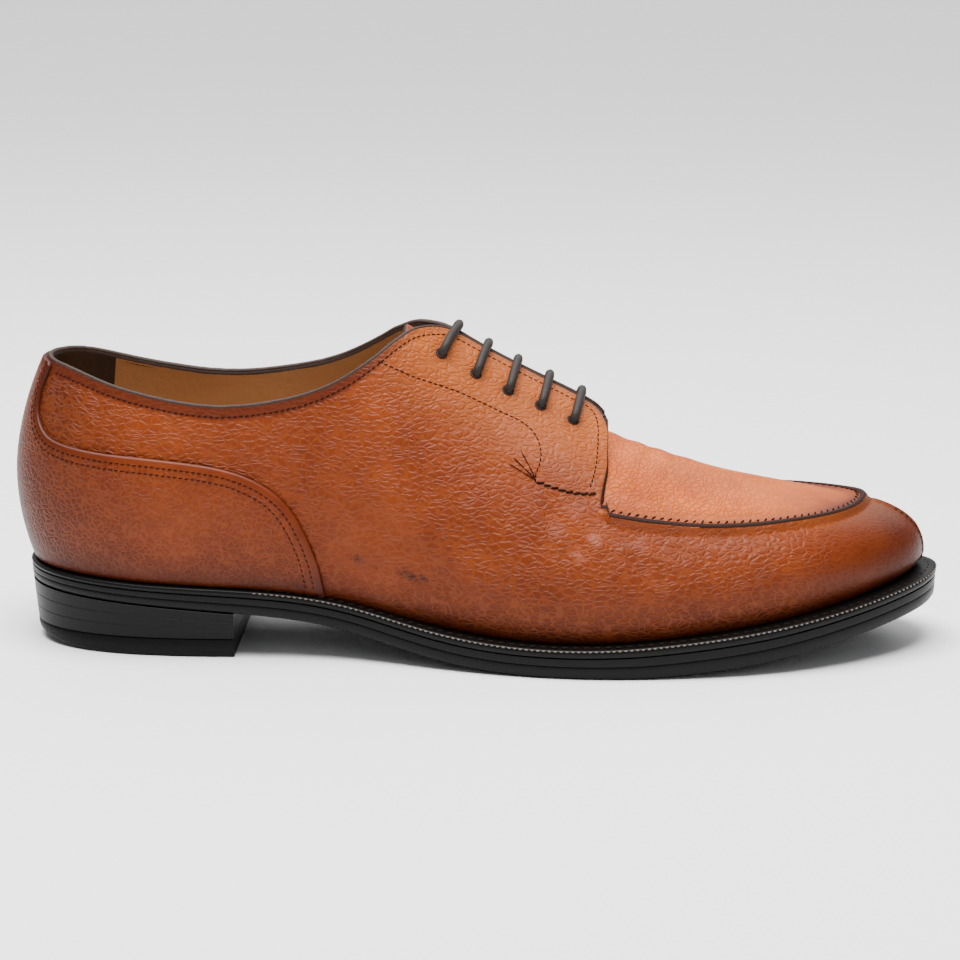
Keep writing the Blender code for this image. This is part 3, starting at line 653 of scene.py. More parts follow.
def shareOf(px, v, seam):
    behind = 1 - smoothStep(165, throatFront, px)
    over = smoothStep(-0.10, 0.10, v - seam)
    return np.where(px < throatFront + 0.1, behind + (1 - behind) * over, 0.0)


def facingLift(px, v, seam):
    return facingStep * smoothStep(150, 186, px) * smoothStep(-0.05, 0.05, v - seam)


def leatherPoint(turn, v, seam, rise, outer):
    px, _ = plan(turn)
    px = px + 0 * v
    share = shareOf(px, v, seam)
    return surface(turn, v, share, rise + facingLift(px, v, seam) + creaseLift(turn, v, outer))


def buildSide(outer):
    spec = sidePanel
    name = "sideOuter" if outer else "sideInner"
    n = spec["quarterColumns"]
    edgeTurn = float(along(throatFront))
    back = np.linspace(0, edgeTurn, n)
    front = np.linspace(edgeTurn, pi, spec["columns"] - n + 1)[1:]
    turns = np.concatenate([back, front])
    if not outer:
        turns = 2 * pi - turns
    seam = smoothed(seamShare(turns), 6)
    # lower part, welt to seam
    f = 1 - (1 - np.linspace(0, 1, spec["lowRows"])) ** 1.45
    perV = perShare(turns, seam, False)
    v = seam[:, None] * f[None, :]
    px = plan(turns)[0][:, None] + 0 * v
    toSeam = (seam[:, None] - v) * perV[:, None]
    ahead = smoothStep(190.5, 194.0, px)
    rise = spec["ridge"] * ahead * (1 - smoothStep(0.3, spec["ridgeWidth"], toSeam))
    toTip = np.abs(turns - pi)[:, None] * tipSize
    tip = np.where(toTip < 9, 1.0, 0.0)
    lips = 0.7 * bell(toTip - 2.6, 1.3) - spec["groove"] * np.exp(-(toTip / spec["grooveWidth"] * 1.6) ** 2)
    rise = rise + lips * tip * smoothStep(0.03, 0.09, v) * smoothStep(0.8, 5.0, toSeam)
    low = leatherPoint(turns[:, None] + 0 * v, v, seam[:, None], rise, outer)
    # the cut edge of the panel, stood up along the apron
    cut = []
    for across, up in ((0.25, 1.75), (0.75, 1.75), (0.95, 1.2), (1.0, 0.2)):
        vv = seam + across * spec["cutWidth"] / perV
        stand = up * ahead[:, -1] - 1.0 * (1 - ahead[:, -1])
        cut.append(surface(turns, vv, shareOf(px[:, 0], vv, seam), stand))
    cut = np.stack(cut, 1)
    columns = len(turns)
    points = np.concatenate([low, cut], 1)
    faces = gridFaces(columns, points.shape[1], flip=not outer)
    perColumn = points.shape[1] - 1
    isCut = np.tile(np.arange(perColumn) >= low.shape[1] - 1, columns - 1)
    keep = np.ones(len(faces), bool)
    nearSeam = np.concatenate([toSeam[:, :-1], np.zeros((columns, 5))], 1)[:-1, :perColumn]
    nearSeam = nearSeam < spec["darkBelow"]
    isDark = isCut | (nearSeam & (px[:-1, :1] > 191.5)).reshape(-1)
    columnOf = np.repeat(np.arange(columns - 1), perColumn)
    keep[isCut & (columnOf < n - 1)] = False
    vAll = np.concatenate([v, seam[:, None] + np.zeros((columns, 4))], 1)
    pxAll = np.repeat(px[:, :1], points.shape[1], 1)
    faces = [f for f, k in zip(faces, keep) if k]
    pieces = [(points.reshape(-1, 3), vAll.reshape(-1), pxAll.reshape(-1), faces,
               isDark[keep].astype(int), np.zeros(vAll.size))]
    # upper part, seam to topline and facing edge
    top = smoothed(topEdge(turns[:n]), 2)
    g = np.linspace(0, 1, spec["highRows"])
    vHigh = seam[:n, None] + (top - seam[:n])[:, None] * g[None, :]
    bulge = -1.9 * (1 - smoothStep(0.0, 0.45, g))[None, :] * smoothStep(150, throatFront, px[:n, :1])
    placeHigh = px[:n, :1] + bulge
    turnHigh = sideTurn(placeHigh, outer)
    high = leatherPoint(turnHigh, vHigh, seam[:n, None], 0.0, outer)
    shareHigh = shareOf(px[:n, 0], vHigh[:, -1], seam[:n])
    nHigh = surfaceNormal(turnHigh[:, -1], vHigh[:, -1], shareHigh)
    upward = unit(high[:, -1] - high[:, -2])
    rim = [high[:, -1] + upward * out - nHigh * down for out, down in
           ((0.35, 0.25), (0.5, 0.8), (0.45, 1.5), (0.2, spec["edgeThick"]), (-1.5, wall))]
    high = np.concatenate([high, np.stack(rim, 1)], 1)
    # front edge of the facing
    nFront = surfaceNormal(turnHigh[-1], vHigh[-1], 1.0)
    nFront = np.concatenate([nFront, np.repeat(nFront[-1:], 5, 0)])
    forward = unit(high[-1] - high[-2])
    lip = [high[-1] + forward * out - nFront * down for out, down in
           ((0.7, 0.10), (1.5, 0.6), (1.6, 1.3), (1.0, 2.0), (-0.6, 2.3))]
    high = np.concatenate([high, np.stack(lip, 0)], 0)
    extra = high.shape[0] - n
    rowsHigh = high.shape[1]

    def longer(rows):
        return np.concatenate([rows, np.repeat(rows[-1:], extra, 0)], 0)

    vFull = longer(np.concatenate([vHigh, np.repeat(vHigh[:, -1:], 5, 1)], 1))
    pFull = longer(np.concatenate([placeHigh, np.repeat(placeHigh[:, -1:], 5, 1)], 1))
    toTop = (np.repeat(top[:, None], rowsHigh, 1) - vFull[:n]) * shareSize
    edgeMargin = 0.75 * (1 - smoothStep(2.2, 3.4, toTop))
    edgeMargin = longer(edgeMargin * (1 - 0.7 * smoothStep(112, 135, px[:n, :1])))
    fHigh = gridFaces(high.shape[0], rowsHigh, flip=not outer)
    rowOf = np.tile(np.arange(rowsHigh - 1), high.shape[0] - 1)
    colOf = np.repeat(np.arange(high.shape[0] - 1), rowsHigh - 1)
    raw = np.where(rowOf >= spec["highRows"] - 1, 2, 0)
    raw = np.where((colOf >= n - 1) & (rowOf < spec["highRows"]), 1, raw)
    pieces.append((high.reshape(-1, 3), vFull.reshape(-1), pFull.reshape(-1), fHigh, raw,
                   edgeMargin.reshape(-1)))
    allPoints, allFaces, choice, start = [], [], [], 0
    marks = {"burnishAndShade": [], "grain": [], "margin": [], "paintedHighlight": []}
    for pts, vv, pp, ff, cc, margin in pieces:
        allPoints.append(pts)
        allFaces += [[i + start for i in face] for face in ff]
        choice += list(cc)
        marks["burnishAndShade"].append(np.clip(burnishAndShadeAt(pp, vv, pts) + eyeletShade(pts), 0, 0.95))
        marks["grain"].append(grainAt(pp, vv) * (1 - 0.9 * margin))
        marks["margin"].append(margin)
        # painted highlight: lighter on the upper quarter towards the throat
        marks["paintedHighlight"].append(0.75 * smoothStep(0.50, 0.82, vv) * smoothStep(95, 130, pp))
        start += len(pts)
    marks = {key: np.concatenate(values) for key, values in marks.items()}
    finishes = [tanLong, cutEdge, rawEdge]
    made = makeMesh(name, np.concatenate(allPoints), allFaces, finishes, choice, marks, weld=2e-5)
    place(made, "upper_leather", "upper")


buildSide(True)
buildSide(False)
print("side panels made")


# apron

apronSpec = {"rows": 70, "back": 186.0, "rise": 1.15, "fall": 5.0}


def buildApron():
    spec = apronSpec
    t0 = float(along(spec["back"]))
    half = np.linspace(t0, pi, 170)
    turns = np.concatenate([half, 2 * pi - half[-2::-1]])
    edge = smoothed(apronEdge(turns), 4)
    perV = perShare(turns, edge, False)
    start = edge + 0.55 * sidePanel["cutWidth"] / perV
    g = np.linspace(0, 1, spec["rows"]) ** 1.25
    v = start[:, None] + (0.9999 - start)[:, None] * g[None, :]
    base = skin(turns[:, None] + 0 * v, v, False)
    fromEdge = np.linalg.norm(base - base[:, :1], axis=-1)
    rise = spec["rise"] * (1 - smoothStep(0.5, spec["fall"], fromEdge)) + apronLift(base)
    # its back end is tucked under the facings
    tucked = (1 - smoothStep(189.0, 192.5, base[..., 0])) * (1 - smoothStep(4, 9, fromEdge))
    rise = rise * (1 - tucked) - 1.4 * tucked
    points = surface(turns[:, None] + 0 * v, v, 0.0, rise)
    points = np.concatenate([points[:, :1] - np.array([0, 0, 1.6]), points], 1)
    # both halves meet on the ridge
    for k in range(len(half) - 1):
        other = len(turns) - 1 - k
        middle = 0.5 * (points[k, -1] + points[other, -1])
        points[k, -1] = middle
        points[other, -1] = middle
    flat = points.reshape(-1, 3)
    toe = smoothStep(236, 282, flat[:, 0])
    fromEdge = np.concatenate([fromEdge[:, :1], fromEdge], 1).reshape(-1)
    # darker towards the apron's edge: painted shade along the apron's rim
    apronRimShade = 0.42 * (1 - smoothStep(0.5, 9.0, fromEdge))
    burnishAndShade = np.clip(0.07 + 0.40 * toe + apronRimShade + 0.16 * noise(flat, 34.0, 3), 0, 0.9)
    grain = np.clip(1 - 0.75 * smoothStep(232, 268, flat[:, 0]), 0.15, 1)
    marks = {"burnishAndShade": burnishAndShade, "grain": grain, "margin": 0 * burnishAndShade}
    faces = gridFaces(len(turns), points.shape[1])
    # the apron takes the lighter, painted-light copy of the leather
    made = makeMesh("apronPanel", flat, faces, [tanTopLit], None, marks, weld=2e-5)
    place(made, "upper_leather", "upper")


buildApron()
print("apron made")


# heel counter

# place along the sole's plan and v
counterTable = (
    (101.9, 0.0), (101.4, 0.05), (100.7, 0.10), (98.6, 0.17), (94.6, 0.235), (89.4, 0.283),
    (83.0, 0.315), (75.5, 0.338), (66.0, 0.354), (54.0, 0.362), (42.0, 0.364), (31.0, 0.360),
    (21.0, 0.355), (13.5, 0.354), (9.4, 0.362), (6.8, 0.382), (5.2, 0.408), (4.4, 0.438),
    (4.1, 0.47), (4.2, 0.50), (4.5, 0.53))
counter = {"mesh": 2.2, "thick": 1.55}
# flattens turn and v to about millimetres
counterScale = np.array([100.0, 110.0])


def inwardOf(tangent):
    tangent = unit(tangent)
    return np.stack([-tangent[:, 1], tangent[:, 0]], -1)


def counterEdge():
    # the counter's edge from the welt to the strap's top, as turn and v, evenly dense
    raw = np.array([(float(along(x)), v) for x, v in counterTable])
    size = runLength(np.hypot(*(np.diff(raw, axis=0) * counterScale).T))
    s = np.linspace(0, size[-1], 130)
    rows = [(float(a), float(b[0]), float(b[1])) for a, b in zip(size, raw)]
    return np.stack([spline(rows, 1, s), np.clip(spline(rows, 2, s), 0, 1)], -1)


def buildCounter():
    edge = counterEdge()
    topTurns = np.linspace(edge[-1, 0], -edge[-1, 0], 20)
    top = np.stack([topTurns, topEdge(topTurns) - 0.004], -1)
    inner = edge[::-1] * [-1, 1]
    bottom = np.stack([np.linspace(inner[-1, 0], edge[0, 0], 120)[1:-1], np.zeros(118)], -1)
    outline = np.concatenate([edge, top[1:-1], inner, bottom])
    poly = outline * counterScale
    # a small inset of the outline carries the rounded edge
    inward = inwardOf(np.roll(poly, -1, 0) - np.roll(poly, 1, 0))
    area = 0.5 * np.sum(poly[:, 0] * np.roll(poly[:, 1], -1) - np.roll(poly[:, 0], -1) * poly[:, 1])
    inward = inward * (1 if area > 0 else -1)
    ringIn = poly + inward * 0.8
    low, high = ringIn.min(0), ringIn.max(0)
    gx, gy = np.meshgrid(*[np.arange(a, b, counter["mesh"]) for a, b in zip(low, high)])
    cloud = np.stack([gx.ravel(), gy.ravel()], -1)
    keep = np.zeros(len(cloud), bool)
    nextRing = np.roll(ringIn, -1, 0)
    run, climb = (nextRing - ringIn).T
    slope = run / np.where(climb == 0, 1, climb)
    for k, (px, py) in enumerate(cloud):
        crossed = (ringIn[:, 1] > py) != (nextRing[:, 1] > py)
        atX = ringIn[:, 0] + (py - ringIn[:, 1]) * slope
        inside = (crossed & (atX > px)).sum() % 2 == 1
        keep[k] = inside and np.hypot(*(ringIn - (px, py)).T).min() > counter["mesh"] * 0.6
    corners = [Vector(p) for p in ringIn] + [Vector(p) for p in cloud[keep]]
    flat, _, triangles, *_ = delaunay_2d_cdt(corners, [], [list(range(len(ringIn)))], 1, 1e-6)
    flat = np.array([tuple(p) for p in flat])
    count = len(ringIn)

    def lifted(rows, rise):
        turn, v = (rows / counterScale).T
        return surface(turn, v, 1.0, rise + creaseLift(turn, v, True))

    thick = counter["thick"]
    topFace = lifted(flat, thick)
    allPoints = np.concatenate([
        topFace, lifted(poly + inward * 0.25, thick - 0.3), lifted(poly, thick - 0.9),
        lifted(poly + inward * 0.1, -0.2)])
    faces = [list(t) for t in triangles]
    starts = [0, len(topFace), len(topFace) + count, len(topFace) + 2 * count]
    for k in range(3):
        for i in range(count):
            j = (i + 1) % count
            faces.append([starts[k] + i, starts[k + 1] + i, starts[k + 1] + j, starts[k] + j])
    rows2d = np.concatenate([flat, poly, poly, poly])
    turn, v = (rows2d / counterScale).T
    px = plan(turn)[0]
    # the outline without its foot, which lies under the welt
    shown = poly[:1 - len(bottom)]
    nearEdge = np.array([np.hypot(*(shown - row).T).min() for row in rows2d])
    # the lower half of the counter's rounded edge is painted dark, a painted shade of the dark line under the
    # edge; the top face also darkens within a few millimetres of the edge
    paintedRimShade = np.concatenate([np.zeros(len(flat) + count), np.full(2 * count, 0.8)])
    burnishAndShade = burnishAndShadeAt(px, v, allPoints) + 0.18 * (1 - smoothStep(0.2, 3.5, nearEdge)) + paintedRimShade
    grain = grainAt(px, v) * smoothStep(0.5, 4.5, nearEdge)
    marks = {"burnishAndShade": np.clip(burnishAndShade, 0, 0.95), "grain": grain, "margin": 0 * v}
    made = makeMesh("heelCounterPanel", allPoints, faces, [tan], None, marks)
    shape = bmesh.new()
    shape.from_mesh(made.data)
    bmesh.ops.recalc_face_normals(shape, faces=shape.faces)
    shape.to_mesh(made.data)
    shape.free()
    made.data.polygons.foreach_set("use_smooth", [True] * len(made.data.polygons))
    place(made, "upper_leather", "heel_counter")


buildCounter()
print("counter made")


# lining

liningSpec = {"columns": 260, "rows": 44, "seam": 25.0, "turnedIn": 2.8}


def buildLining():
    spec = liningSpec
    turns = np.linspace(0, 2 * pi, spec["columns"], endpoint=False)
    px = plan(turns)[0]
    isQuarter = px < throatFront - 2.5
    top = np.where(isQuarter, topEdge(turns), 0.9999)
    g = np.linspace(0, 1, spec["rows"])
    v = 0.03 + (top - 0.005 - 0.03)[:, None] * g[None, :]
    seam = seamShare(np.clip(turns, 0, pi))
    share = np.where(isQuarter[:, None], shareOf(px[:, None] + 0 * v, v, seam[:, None]), 0.0)
    wave = 0.12 * np.sin(px / 7)[:, None] * np.sin(v * 19)
    points = surface(turns[:, None] + 0 * v, v, share, -wall - 0.05 + wave)
    # the foot of the lining is turned in over the insole's edge
    foot = surface(turns[:, None], v[:, :1], share[:, :1], -wall - spec["turnedIn"]) - np.array([0, 0, 0.9])
    points = np.concatenate([foot, points], 1)
    faces = gridFaces(spec["columns"], spec["rows"] + 1, wrap=True, flip=True)
    column = np.repeat(np.arange(spec["columns"]), spec["rows"])
    # behind x = 25 the lining takes the near-black finish
    dark = px[column] < spec["seam"]
    keep = isQuarter[column] == isQuarter[(column + 1) % spec["columns"]]
    faces = [f for f, k in zip(faces, keep) if k]
    choice = dark[keep].astype(int)
    made = makeMesh("liningSkin", points.reshape(-1, 3), faces, [lining, darkLining], choice)
    place(made, "lining_leather", "upper")


buildLining()
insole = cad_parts["insole"]
insole.data.materials.clear()
insole.data.materials.append(lining)
print("lining made")


# tongue

tongueSpec = {
    "half": 21.0, "top": 126.5, "sink": 3.8, "thick": 3.0, "front": 192.5, "rows": 70, "across": 40}


def buildTongue():
    spec = tongueSpec
    xs = np.linspace(spec["front"], spec["top"], spec["rows"])
    across = np.linspace(0, 1, spec["across"])
    grids = []
    for outer in (True, False):
        turns = sideTurn(xs, outer)
        points = ladder(turns, False)
        half = spec["half"] - 5.0 * smoothStep(150, 188, points[..., 0])
        half = half * np.sqrt(1 - np.clip((spec["top"] + 14 - points[..., 0]) / 15, 0, 1) ** 2)
        edge = firstShare(np.abs(points[..., 1] - ridgeY(points[..., 0])) < np.maximum(half, 6.0))
        v = edge[:, None] + (1 - edge)[:, None] * across[None, :]
        rise = 1.8 * smoothStep(188, 175, xs)[:, None] * across - spec["sink"] * (1 - across) ** 2
        ripple = 0.35 * np.sin(xs / 4.5)[:, None] * across ** 2 * smoothStep(190, 170, xs)[:, None]
        rise = rise + ripple
        turn = turns[:, None] + 0 * v
        upper, under = surface(turn, v, 0.0, rise), surface(turn, v, 0.0, rise - spec["thick"])
        grids.append((upper, under) if outer else (upper[:, ::-1], under[:, ::-1]))
    upper = np.concatenate([grids[0][0], grids[1][0][:, 1:]], 1)
    under = np.concatenate([grids[0][1], grids[1][1][:, 1:]], 1)
    tip = unit(upper[-1] - upper[-2])
    roll = [upper[-1] * 0.75 + under[-1] * 0.25 + tip * 0.7,
            upper[-1] * 0.3 + under[-1] * 0.7 + tip * 0.6]
    loop = np.concatenate([upper, np.stack(roll, 0), under[::-1]], 0)
    faces = gridFaces(loop.shape[0], loop.shape[1])
    rowOf = np.repeat(np.arange(loop.shape[0] - 1), loop.shape[1] - 1)
    choice = np.where(rowOf < spec["rows"] - 1, 0, np.where(rowOf < spec["rows"] + 2, 1, 2))
    flat = loop.reshape(-1, 3)
    none = 0 * flat[:, 0]
    burnishAndShade = np.clip(0.22 + 0.1 * noise(flat, 20.0, 5), 0, 1)
    marks = {"burnishAndShade": burnishAndShade, "grain": none + 0.8, "margin": none}
    made = makeMesh("tonguePanel", flat, faces, [tan, rawEdge, lining], choice, marks)
    place(made, "upper_leather", "tongue")


buildTongue()
print("tongue made")


# sole


def buildPlate(name, node, last, count, levels, finish=black, slotName="sole_edge"):
    # levels are inset and height from the bottom up
    turns = np.linspace(float(along(0)), float(along(last)), count)
    whole = abs(turns[-1] - pi) < 1e-9
    ring = np.array(list(turns) + [2 * pi - t for t in turns[(-2 if whole else -1):0:-1]])
    total = len(ring)
    rows = []
    for inset, height in levels:
        x, y = plan(ring, inset)
        rows.append(np.stack([x, y, height(x) + 0 * x], -1))
    points = np.concatenate(rows)
    faces = []
    for k in range(len(levels) - 1):
        for i in range(total):
            j = (i + 1) % total
            faces.append((k * total + i, k * total + j, (k + 1) * total + j, (k + 1) * total + i))
    for start, step in ((0, -1), ((len(levels) - 1) * total, 1)):
        for i in range(count - 1):
            corners = (i, i + 1, (total - i - 1) % total, (total - i) % total)
            faces.append(tuple(start + c for c in dict.fromkeys(corners))[::step])
    place(makeMesh(name, points, faces, [finish], sharp=0.7), slotName, node)


heelSpec = {"breast": 72, "count": 90, "low": 6.3, "taper": 0.45, "worn": 28.0}


def buildSole():
    buildPlate("outsoleVisual", "outsole", soleLength, 200, (
        (1.9, above(soleBottom, 0.05)), (1.0, above(soleBottom, 0.35)), (0.50, above(soleBottom, 1.1)),
        (0.30, above(midsoleBottom, -0.6)), (0.45, above(midsoleBottom, -0.12)),
        (0.9, above(midsoleBottom, -0.08))))
    buildPlate("midsoleVisual", "midsole", soleLength, 200, (
        (0.8, above(midsoleBottom, 0.0)), (0.38, above(midsoleBottom, 0.12)),
        (0.2, lambda x: 0.5 * (midsoleBottom(x) + weltBottom(x))),
        (0.28, above(weltBottom, -0.3)), (0.6, above(weltBottom, -0.12))))

    def level(share):
        return lambda x: heelSpec["low"] + (soleBottom(x) - heelSpec["low"]) * share

    for lift in range(3):
        base, top = level(lift / 3), level((lift + 1) / 3)
        under, over = 0.6 + heelSpec["taper"] * (3 - lift), 0.6 + heelSpec["taper"] * (2 - lift)
        name, node = f"heelLiftVisual{lift + 1}", f"heel_lift_{lift + 1}"
        buildPlate(name, node, heelSpec["breast"], heelSpec["count"], (
            (under + 0.12, above(base, 0.0)), (under + 0.03, above(base, 0.06)),
            (over, above(top, -0.12)), (over + 0.09, above(top, -0.03))))

    def wear(x):
        return 4.2 * np.clip((heelSpec["worn"] - np.asarray(x, float)) / heelSpec["worn"], 0, 1) ** 2

    buildPlate("heelTopVisual", "heel_top_piece", heelSpec["breast"], heelSpec["count"], (
        (2.9, wear), (2.3, above(wear, 0.35)), (2.0, above(wear, 1.2)), (2.0, lambda x: 5.6 + 0 * x),
        (2.4, lambda x: 6.1 + 0 * x)), rubber, "heel_rubber")


buildSole()
print("sole made")


# welt

weltSpec = {"count": 640, "stitchInset": 2.7, "pitch": 3.5, "fudgePitch": 1.9}


def buildWelt():
    ring = np.linspace(0, 2 * pi, weltSpec["count"], endpoint=False)
    px, _ = plan(ring)
    share = outerShare(ring)
    inner = section(4, px) * share + section(5, px) * (1 - share) + section(6, px) + wall
    rows = []
    for inset, height in ((inner, rimTop(px) + 0.0), (inner, weltBottom(px)), (0.5, weltBottom(px) + 0.05),
                          (0.12, weltBottom(px) + 0.45), (0.0, 0.5 * (weltBottom(px) + rimTop(px))),
                          (0.1, rimTop(px) - 0.4), (0.5, rimTop(px) - 0.05), (1.1, rimTop(px) + 0.02)):
        x, y = plan(ring, inset)
        rows.append(np.stack([x, y, height + 0 * x], -1))
    points = np.stack(rows, 1)
    faces = tubeFaces(*points.shape[:2], wrap=True).tolist()
    place(makeMesh("weltVisual", points.reshape(-1, 3), faces, [black], sharp=0.8), "sole_edge", "welt")


buildWelt()
print("welt made")


# stitches


def capsule(length, width, rings=7, sides=8):
    t = np.linspace(-1, 1, rings)
    radius = np.sqrt(np.clip(1 - np.abs(t) ** 3.2, 0.02, 1))
    a = np.linspace(0, 2 * pi, sides, endpoint=False)
    points = np.stack([np.repeat(t * length / 2, sides), np.outer(radius, np.cos(a)).ravel() * width / 2,
                       np.outer(radius, np.sin(a)).ravel() * width / 2], -1)
    faces = []
    for k in range(rings - 1):
        for s in range(sides):
            n = (s + 1) % sides
            faces.append((k * sides + s, k * sides + n, (k + 1) * sides + n, (k + 1) * sides + s))
    faces.append(tuple(range(sides))[::-1])
    faces.append(tuple((rings - 1) * sides + s for s in range(sides)))
    return points, faces


def sampled(spots, s, rows):
    return np.stack([np.interp(spots, s, rows[:, k]) for k in range(3)], -1)


def resample(path, normal, pitch):
    s = runLength(np.linalg.norm(np.diff(path, axis=0), axis=1))
    spots = np.arange(pitch / 2, s[-1], pitch)
    ahead = sampled(spots + 0.4, s, path) - sampled(spots - 0.4, s, path)
    return sampled(spots, s, path), sampled(spots, s, normal), ahead


def stitchSet(name, rows, finish, length, width, pitch, slant=0.0, lift=0.0, wobble=0.0,
              slotName="upper_leather"):
    # rows are paths with their normals
    rng = np.random.default_rng(1)
    shape, faces = capsule(length, width)
    allPoints, allFaces = [], []
    for path, normal in rows:
        at, aim, ahead = resample(np.asarray(path), np.asarray(normal), pitch)
        for p, n, d in zip(at, aim, ahead):
            n = n / np.linalg.norm(n)
            d = d - n * (d @ n)
            d = d / (np.linalg.norm(d) + 1e-9)
            side = np.cross(n, d)
            angle = slant + wobble * rng.normal()
            c, q = np.cos(angle), np.sin(angle)
            d, side = d * c + side * q, side * c - d * q
            size = 1 + 0.5 * wobble * rng.normal()
            start = len(shape) * len(allPoints)
            allPoints.append(p + n * lift + shape[:, :1] * size * d + shape[:, 1:2] * side + shape[:, 2:] * n)
            allFaces += [tuple(start + i for i in face) for face in faces]
    place(makeMesh(name, np.concatenate(allPoints), allFaces, [finish]), slotName)


def leatherPath(places, vs, outer):
    # a row on the leather from place and v, with its normals
    turns = sideTurn(np.asarray(places, float), outer)
    vs = np.asarray(vs, float)
    seamRow = seamShare(turns)
    px = plan(turns)[0]
    share = shareOf(px, vs, seamRow)
    path = surface(turns, vs, share, facingLift(px, vs, seamRow) + creaseLift(turns, vs, outer))
    return path, surfaceNormal(turns, vs, share)


def tableRow(table, count=160):
    raw = np.array(table, float)
    size = runLength(np.hypot(np.diff(raw[:, 0]), shareSize * np.diff(raw[:, 1])))
    rows = [(a, b[0], b[1]) for a, b in zip(size, raw)]
    s = np.linspace(0, size[-1], count)
    return spline(rows, 1, s), spline(rows, 2, s)


def edgeRow(x0, x1, below, outer, count=260):
    xs = np.linspace(x0, x1, count)
    turns = sideTurn(xs, outer)
    top = smoothed(topEdge(turns), 4)
    per = perShare(turns, top, True)
    return leatherPath(xs, top - below / per, outer)


# place and v along the stitch rows
stayTable = (
    (118.6, 0.64), (129.1, 0.65), (142.3, 0.685), (153.0, 0.695), (159.7, 0.695), (166.3, 0.69),
    (170.3, 0.665), (171.6, 0.64), (171.6, 0.59), (170.3, 0.55), (170.3, 0.54))
barTable = ((170.8, 0.541), (176.9, 0.545), (183.5, 0.555), (190.6, 0.572))
frontTable = (
    (188.4, 0.580), (189.8, 0.62), (190.6, 0.68), (190.8, 0.75), (190.4, 0.82), (188.6, 0.87),
    (184.8, 0.895))
# from the end of the bar: place, v, of three loose thread ends
threadEnds = (
    ((170.4, 164.6), (0.545, 0.572)), ((170.4, 165.8), (0.547, 0.600)), ((170.4, 163.6), (0.543, 0.556)))
machine = {"finish": threadDark, "pitch": 1.95, "slant": 0.12, "wobble": 0.03}


def buildStitches():
    fineRows, stayRows, barRows = [], [], []
    for outer in (True, False):
        fineRows.append(edgeRow(6.5, 184.5, 3.0, outer))
        fineRows.append(leatherPath(*tableRow(frontTable), outer))
        stayRows.append(leatherPath(*tableRow(stayTable), outer))
        barRows.append(leatherPath(*tableRow(barTable, 40), outer))
    stitchSet("edgeStitches", fineRows, length=1.5, width=0.46, **machine)
    stitchSet("stayStitches", stayRows, length=1.5, width=0.46, **machine)
    stitchSet("barStitches", barRows, threadBlack, 2.7, 0.85, 2.5, lift=0.05, slant=0.3, wobble=0.10)
    tuft = [leatherPath(np.linspace(*px, 12), np.linspace(*v, 12), True) for px, v in threadEnds]
    stitchSet("looseThreads", tuft, threadDark, 5.6, 0.32, 5.2, lift=0.25)
    # two rows just inside the counter's edge
    edge = counterEdge() * counterScale
    inward = inwardOf(np.gradient(edge, axis=0))
    rows = []
    for inset in (2.2, 4.1):
        row = (edge + inward * inset) / counterScale
        turn, v = row[row[:, 1] > 0.03].T
        rise = counter["thick"] + creaseLift(turn, v, True)
        for sign in (1, -1):
            rows.append((surface(sign * turn, v, 1.0, rise), surfaceNormal(sign * turn, v, 1.0)))
    stitchSet("counterStitches", rows, length=1.45, width=0.42, **machine)
    # hand stitches over the apron's edge
    half = np.linspace(float(along(194.8)), pi, 160)
    turns = np.concatenate([half, 2 * pi - half[-2::-1]])
    edgeV = smoothed(apronEdge(turns), 4)
    v = edgeV + 2.0 / perShare(turns, edgeV, False)
    row = surface(turns, v, 0.0, 1.05), surfaceNormal(turns, v, 0.0)
    stitchSet("apronStitches", [row], threadDark, 1.7, 0.62, 2.7, slant=0.75, lift=0.05, wobble=0.22)
    # split seam down the toe
    rows = []
    for side in (-1, 1):
        v = np.linspace(0.10, 0.66, 60)
        turn = pi + side * 3.4 / tipSize + 0 * v
        rows.append((surface(turn, v, 0.0, 0.45), surfaceNormal(turn, v, 0.0)))
    stitchSet("splitStitches", rows, threadDark, 1.2, 0.4, 2.2, lift=-0.05)
    # welt
    start = float(along(78.0))
    t = np.linspace(start, 2 * pi - start, 900)
    x, y = plan(t, weltSpec["stitchInset"])
    path = np.stack([x, y, rimTop(x) + 0.05], -1)
    up = np.tile(np.array([0.0, 0.0, 1.0]), (len(t), 1))
    stitchSet("weltStitches", [(path, up)], threadBlack, 2.5, 0.9, weltSpec["pitch"], lift=0.15,
              wobble=0.04, slotName="sole_edge")
    x, y = plan(t, 0.12)
    path = np.stack([x, y, rimTop(x) - 0.35], -1)
    out = np.stack([*(np.array(plan(t, -1.0)) - np.array(plan(t, 0.0))), 0.5 + 0 * x], -1)
    stitchSet("fudgeMarks", [(path, out)], fudge, 1.15, 0.5, weltSpec["fudgePitch"], lift=0.02,
              wobble=0.05, slotName="sole_edge")


buildStitches()
print("stitches made")


# laces and their holes


def tube(path, radius, sides=14):
    path = np.asarray(path)
    step = unit(np.gradient(path, axis=0))
    side = unit(np.cross(step, np.array([1.0, 0.0, 0.0])))
    other = np.cross(step, side)
    a = np.linspace(0, 2 * pi, sides, endpoint=False)
    ring = np.cos(a)[None, :, None] * side[:, None] + np.sin(a)[None, :, None] * other[:, None]
    s = runLength(np.linalg.norm(np.diff(path, axis=0), axis=1))
    braid = 1 + 0.045 * np.sin(s[:, None] * 4.2 + 4 * a[None, :]) * np.sin(s[:, None] * 4.2 - 4 * a[None, :])
    return path[:, None] + ring * (radius * braid)[..., None]


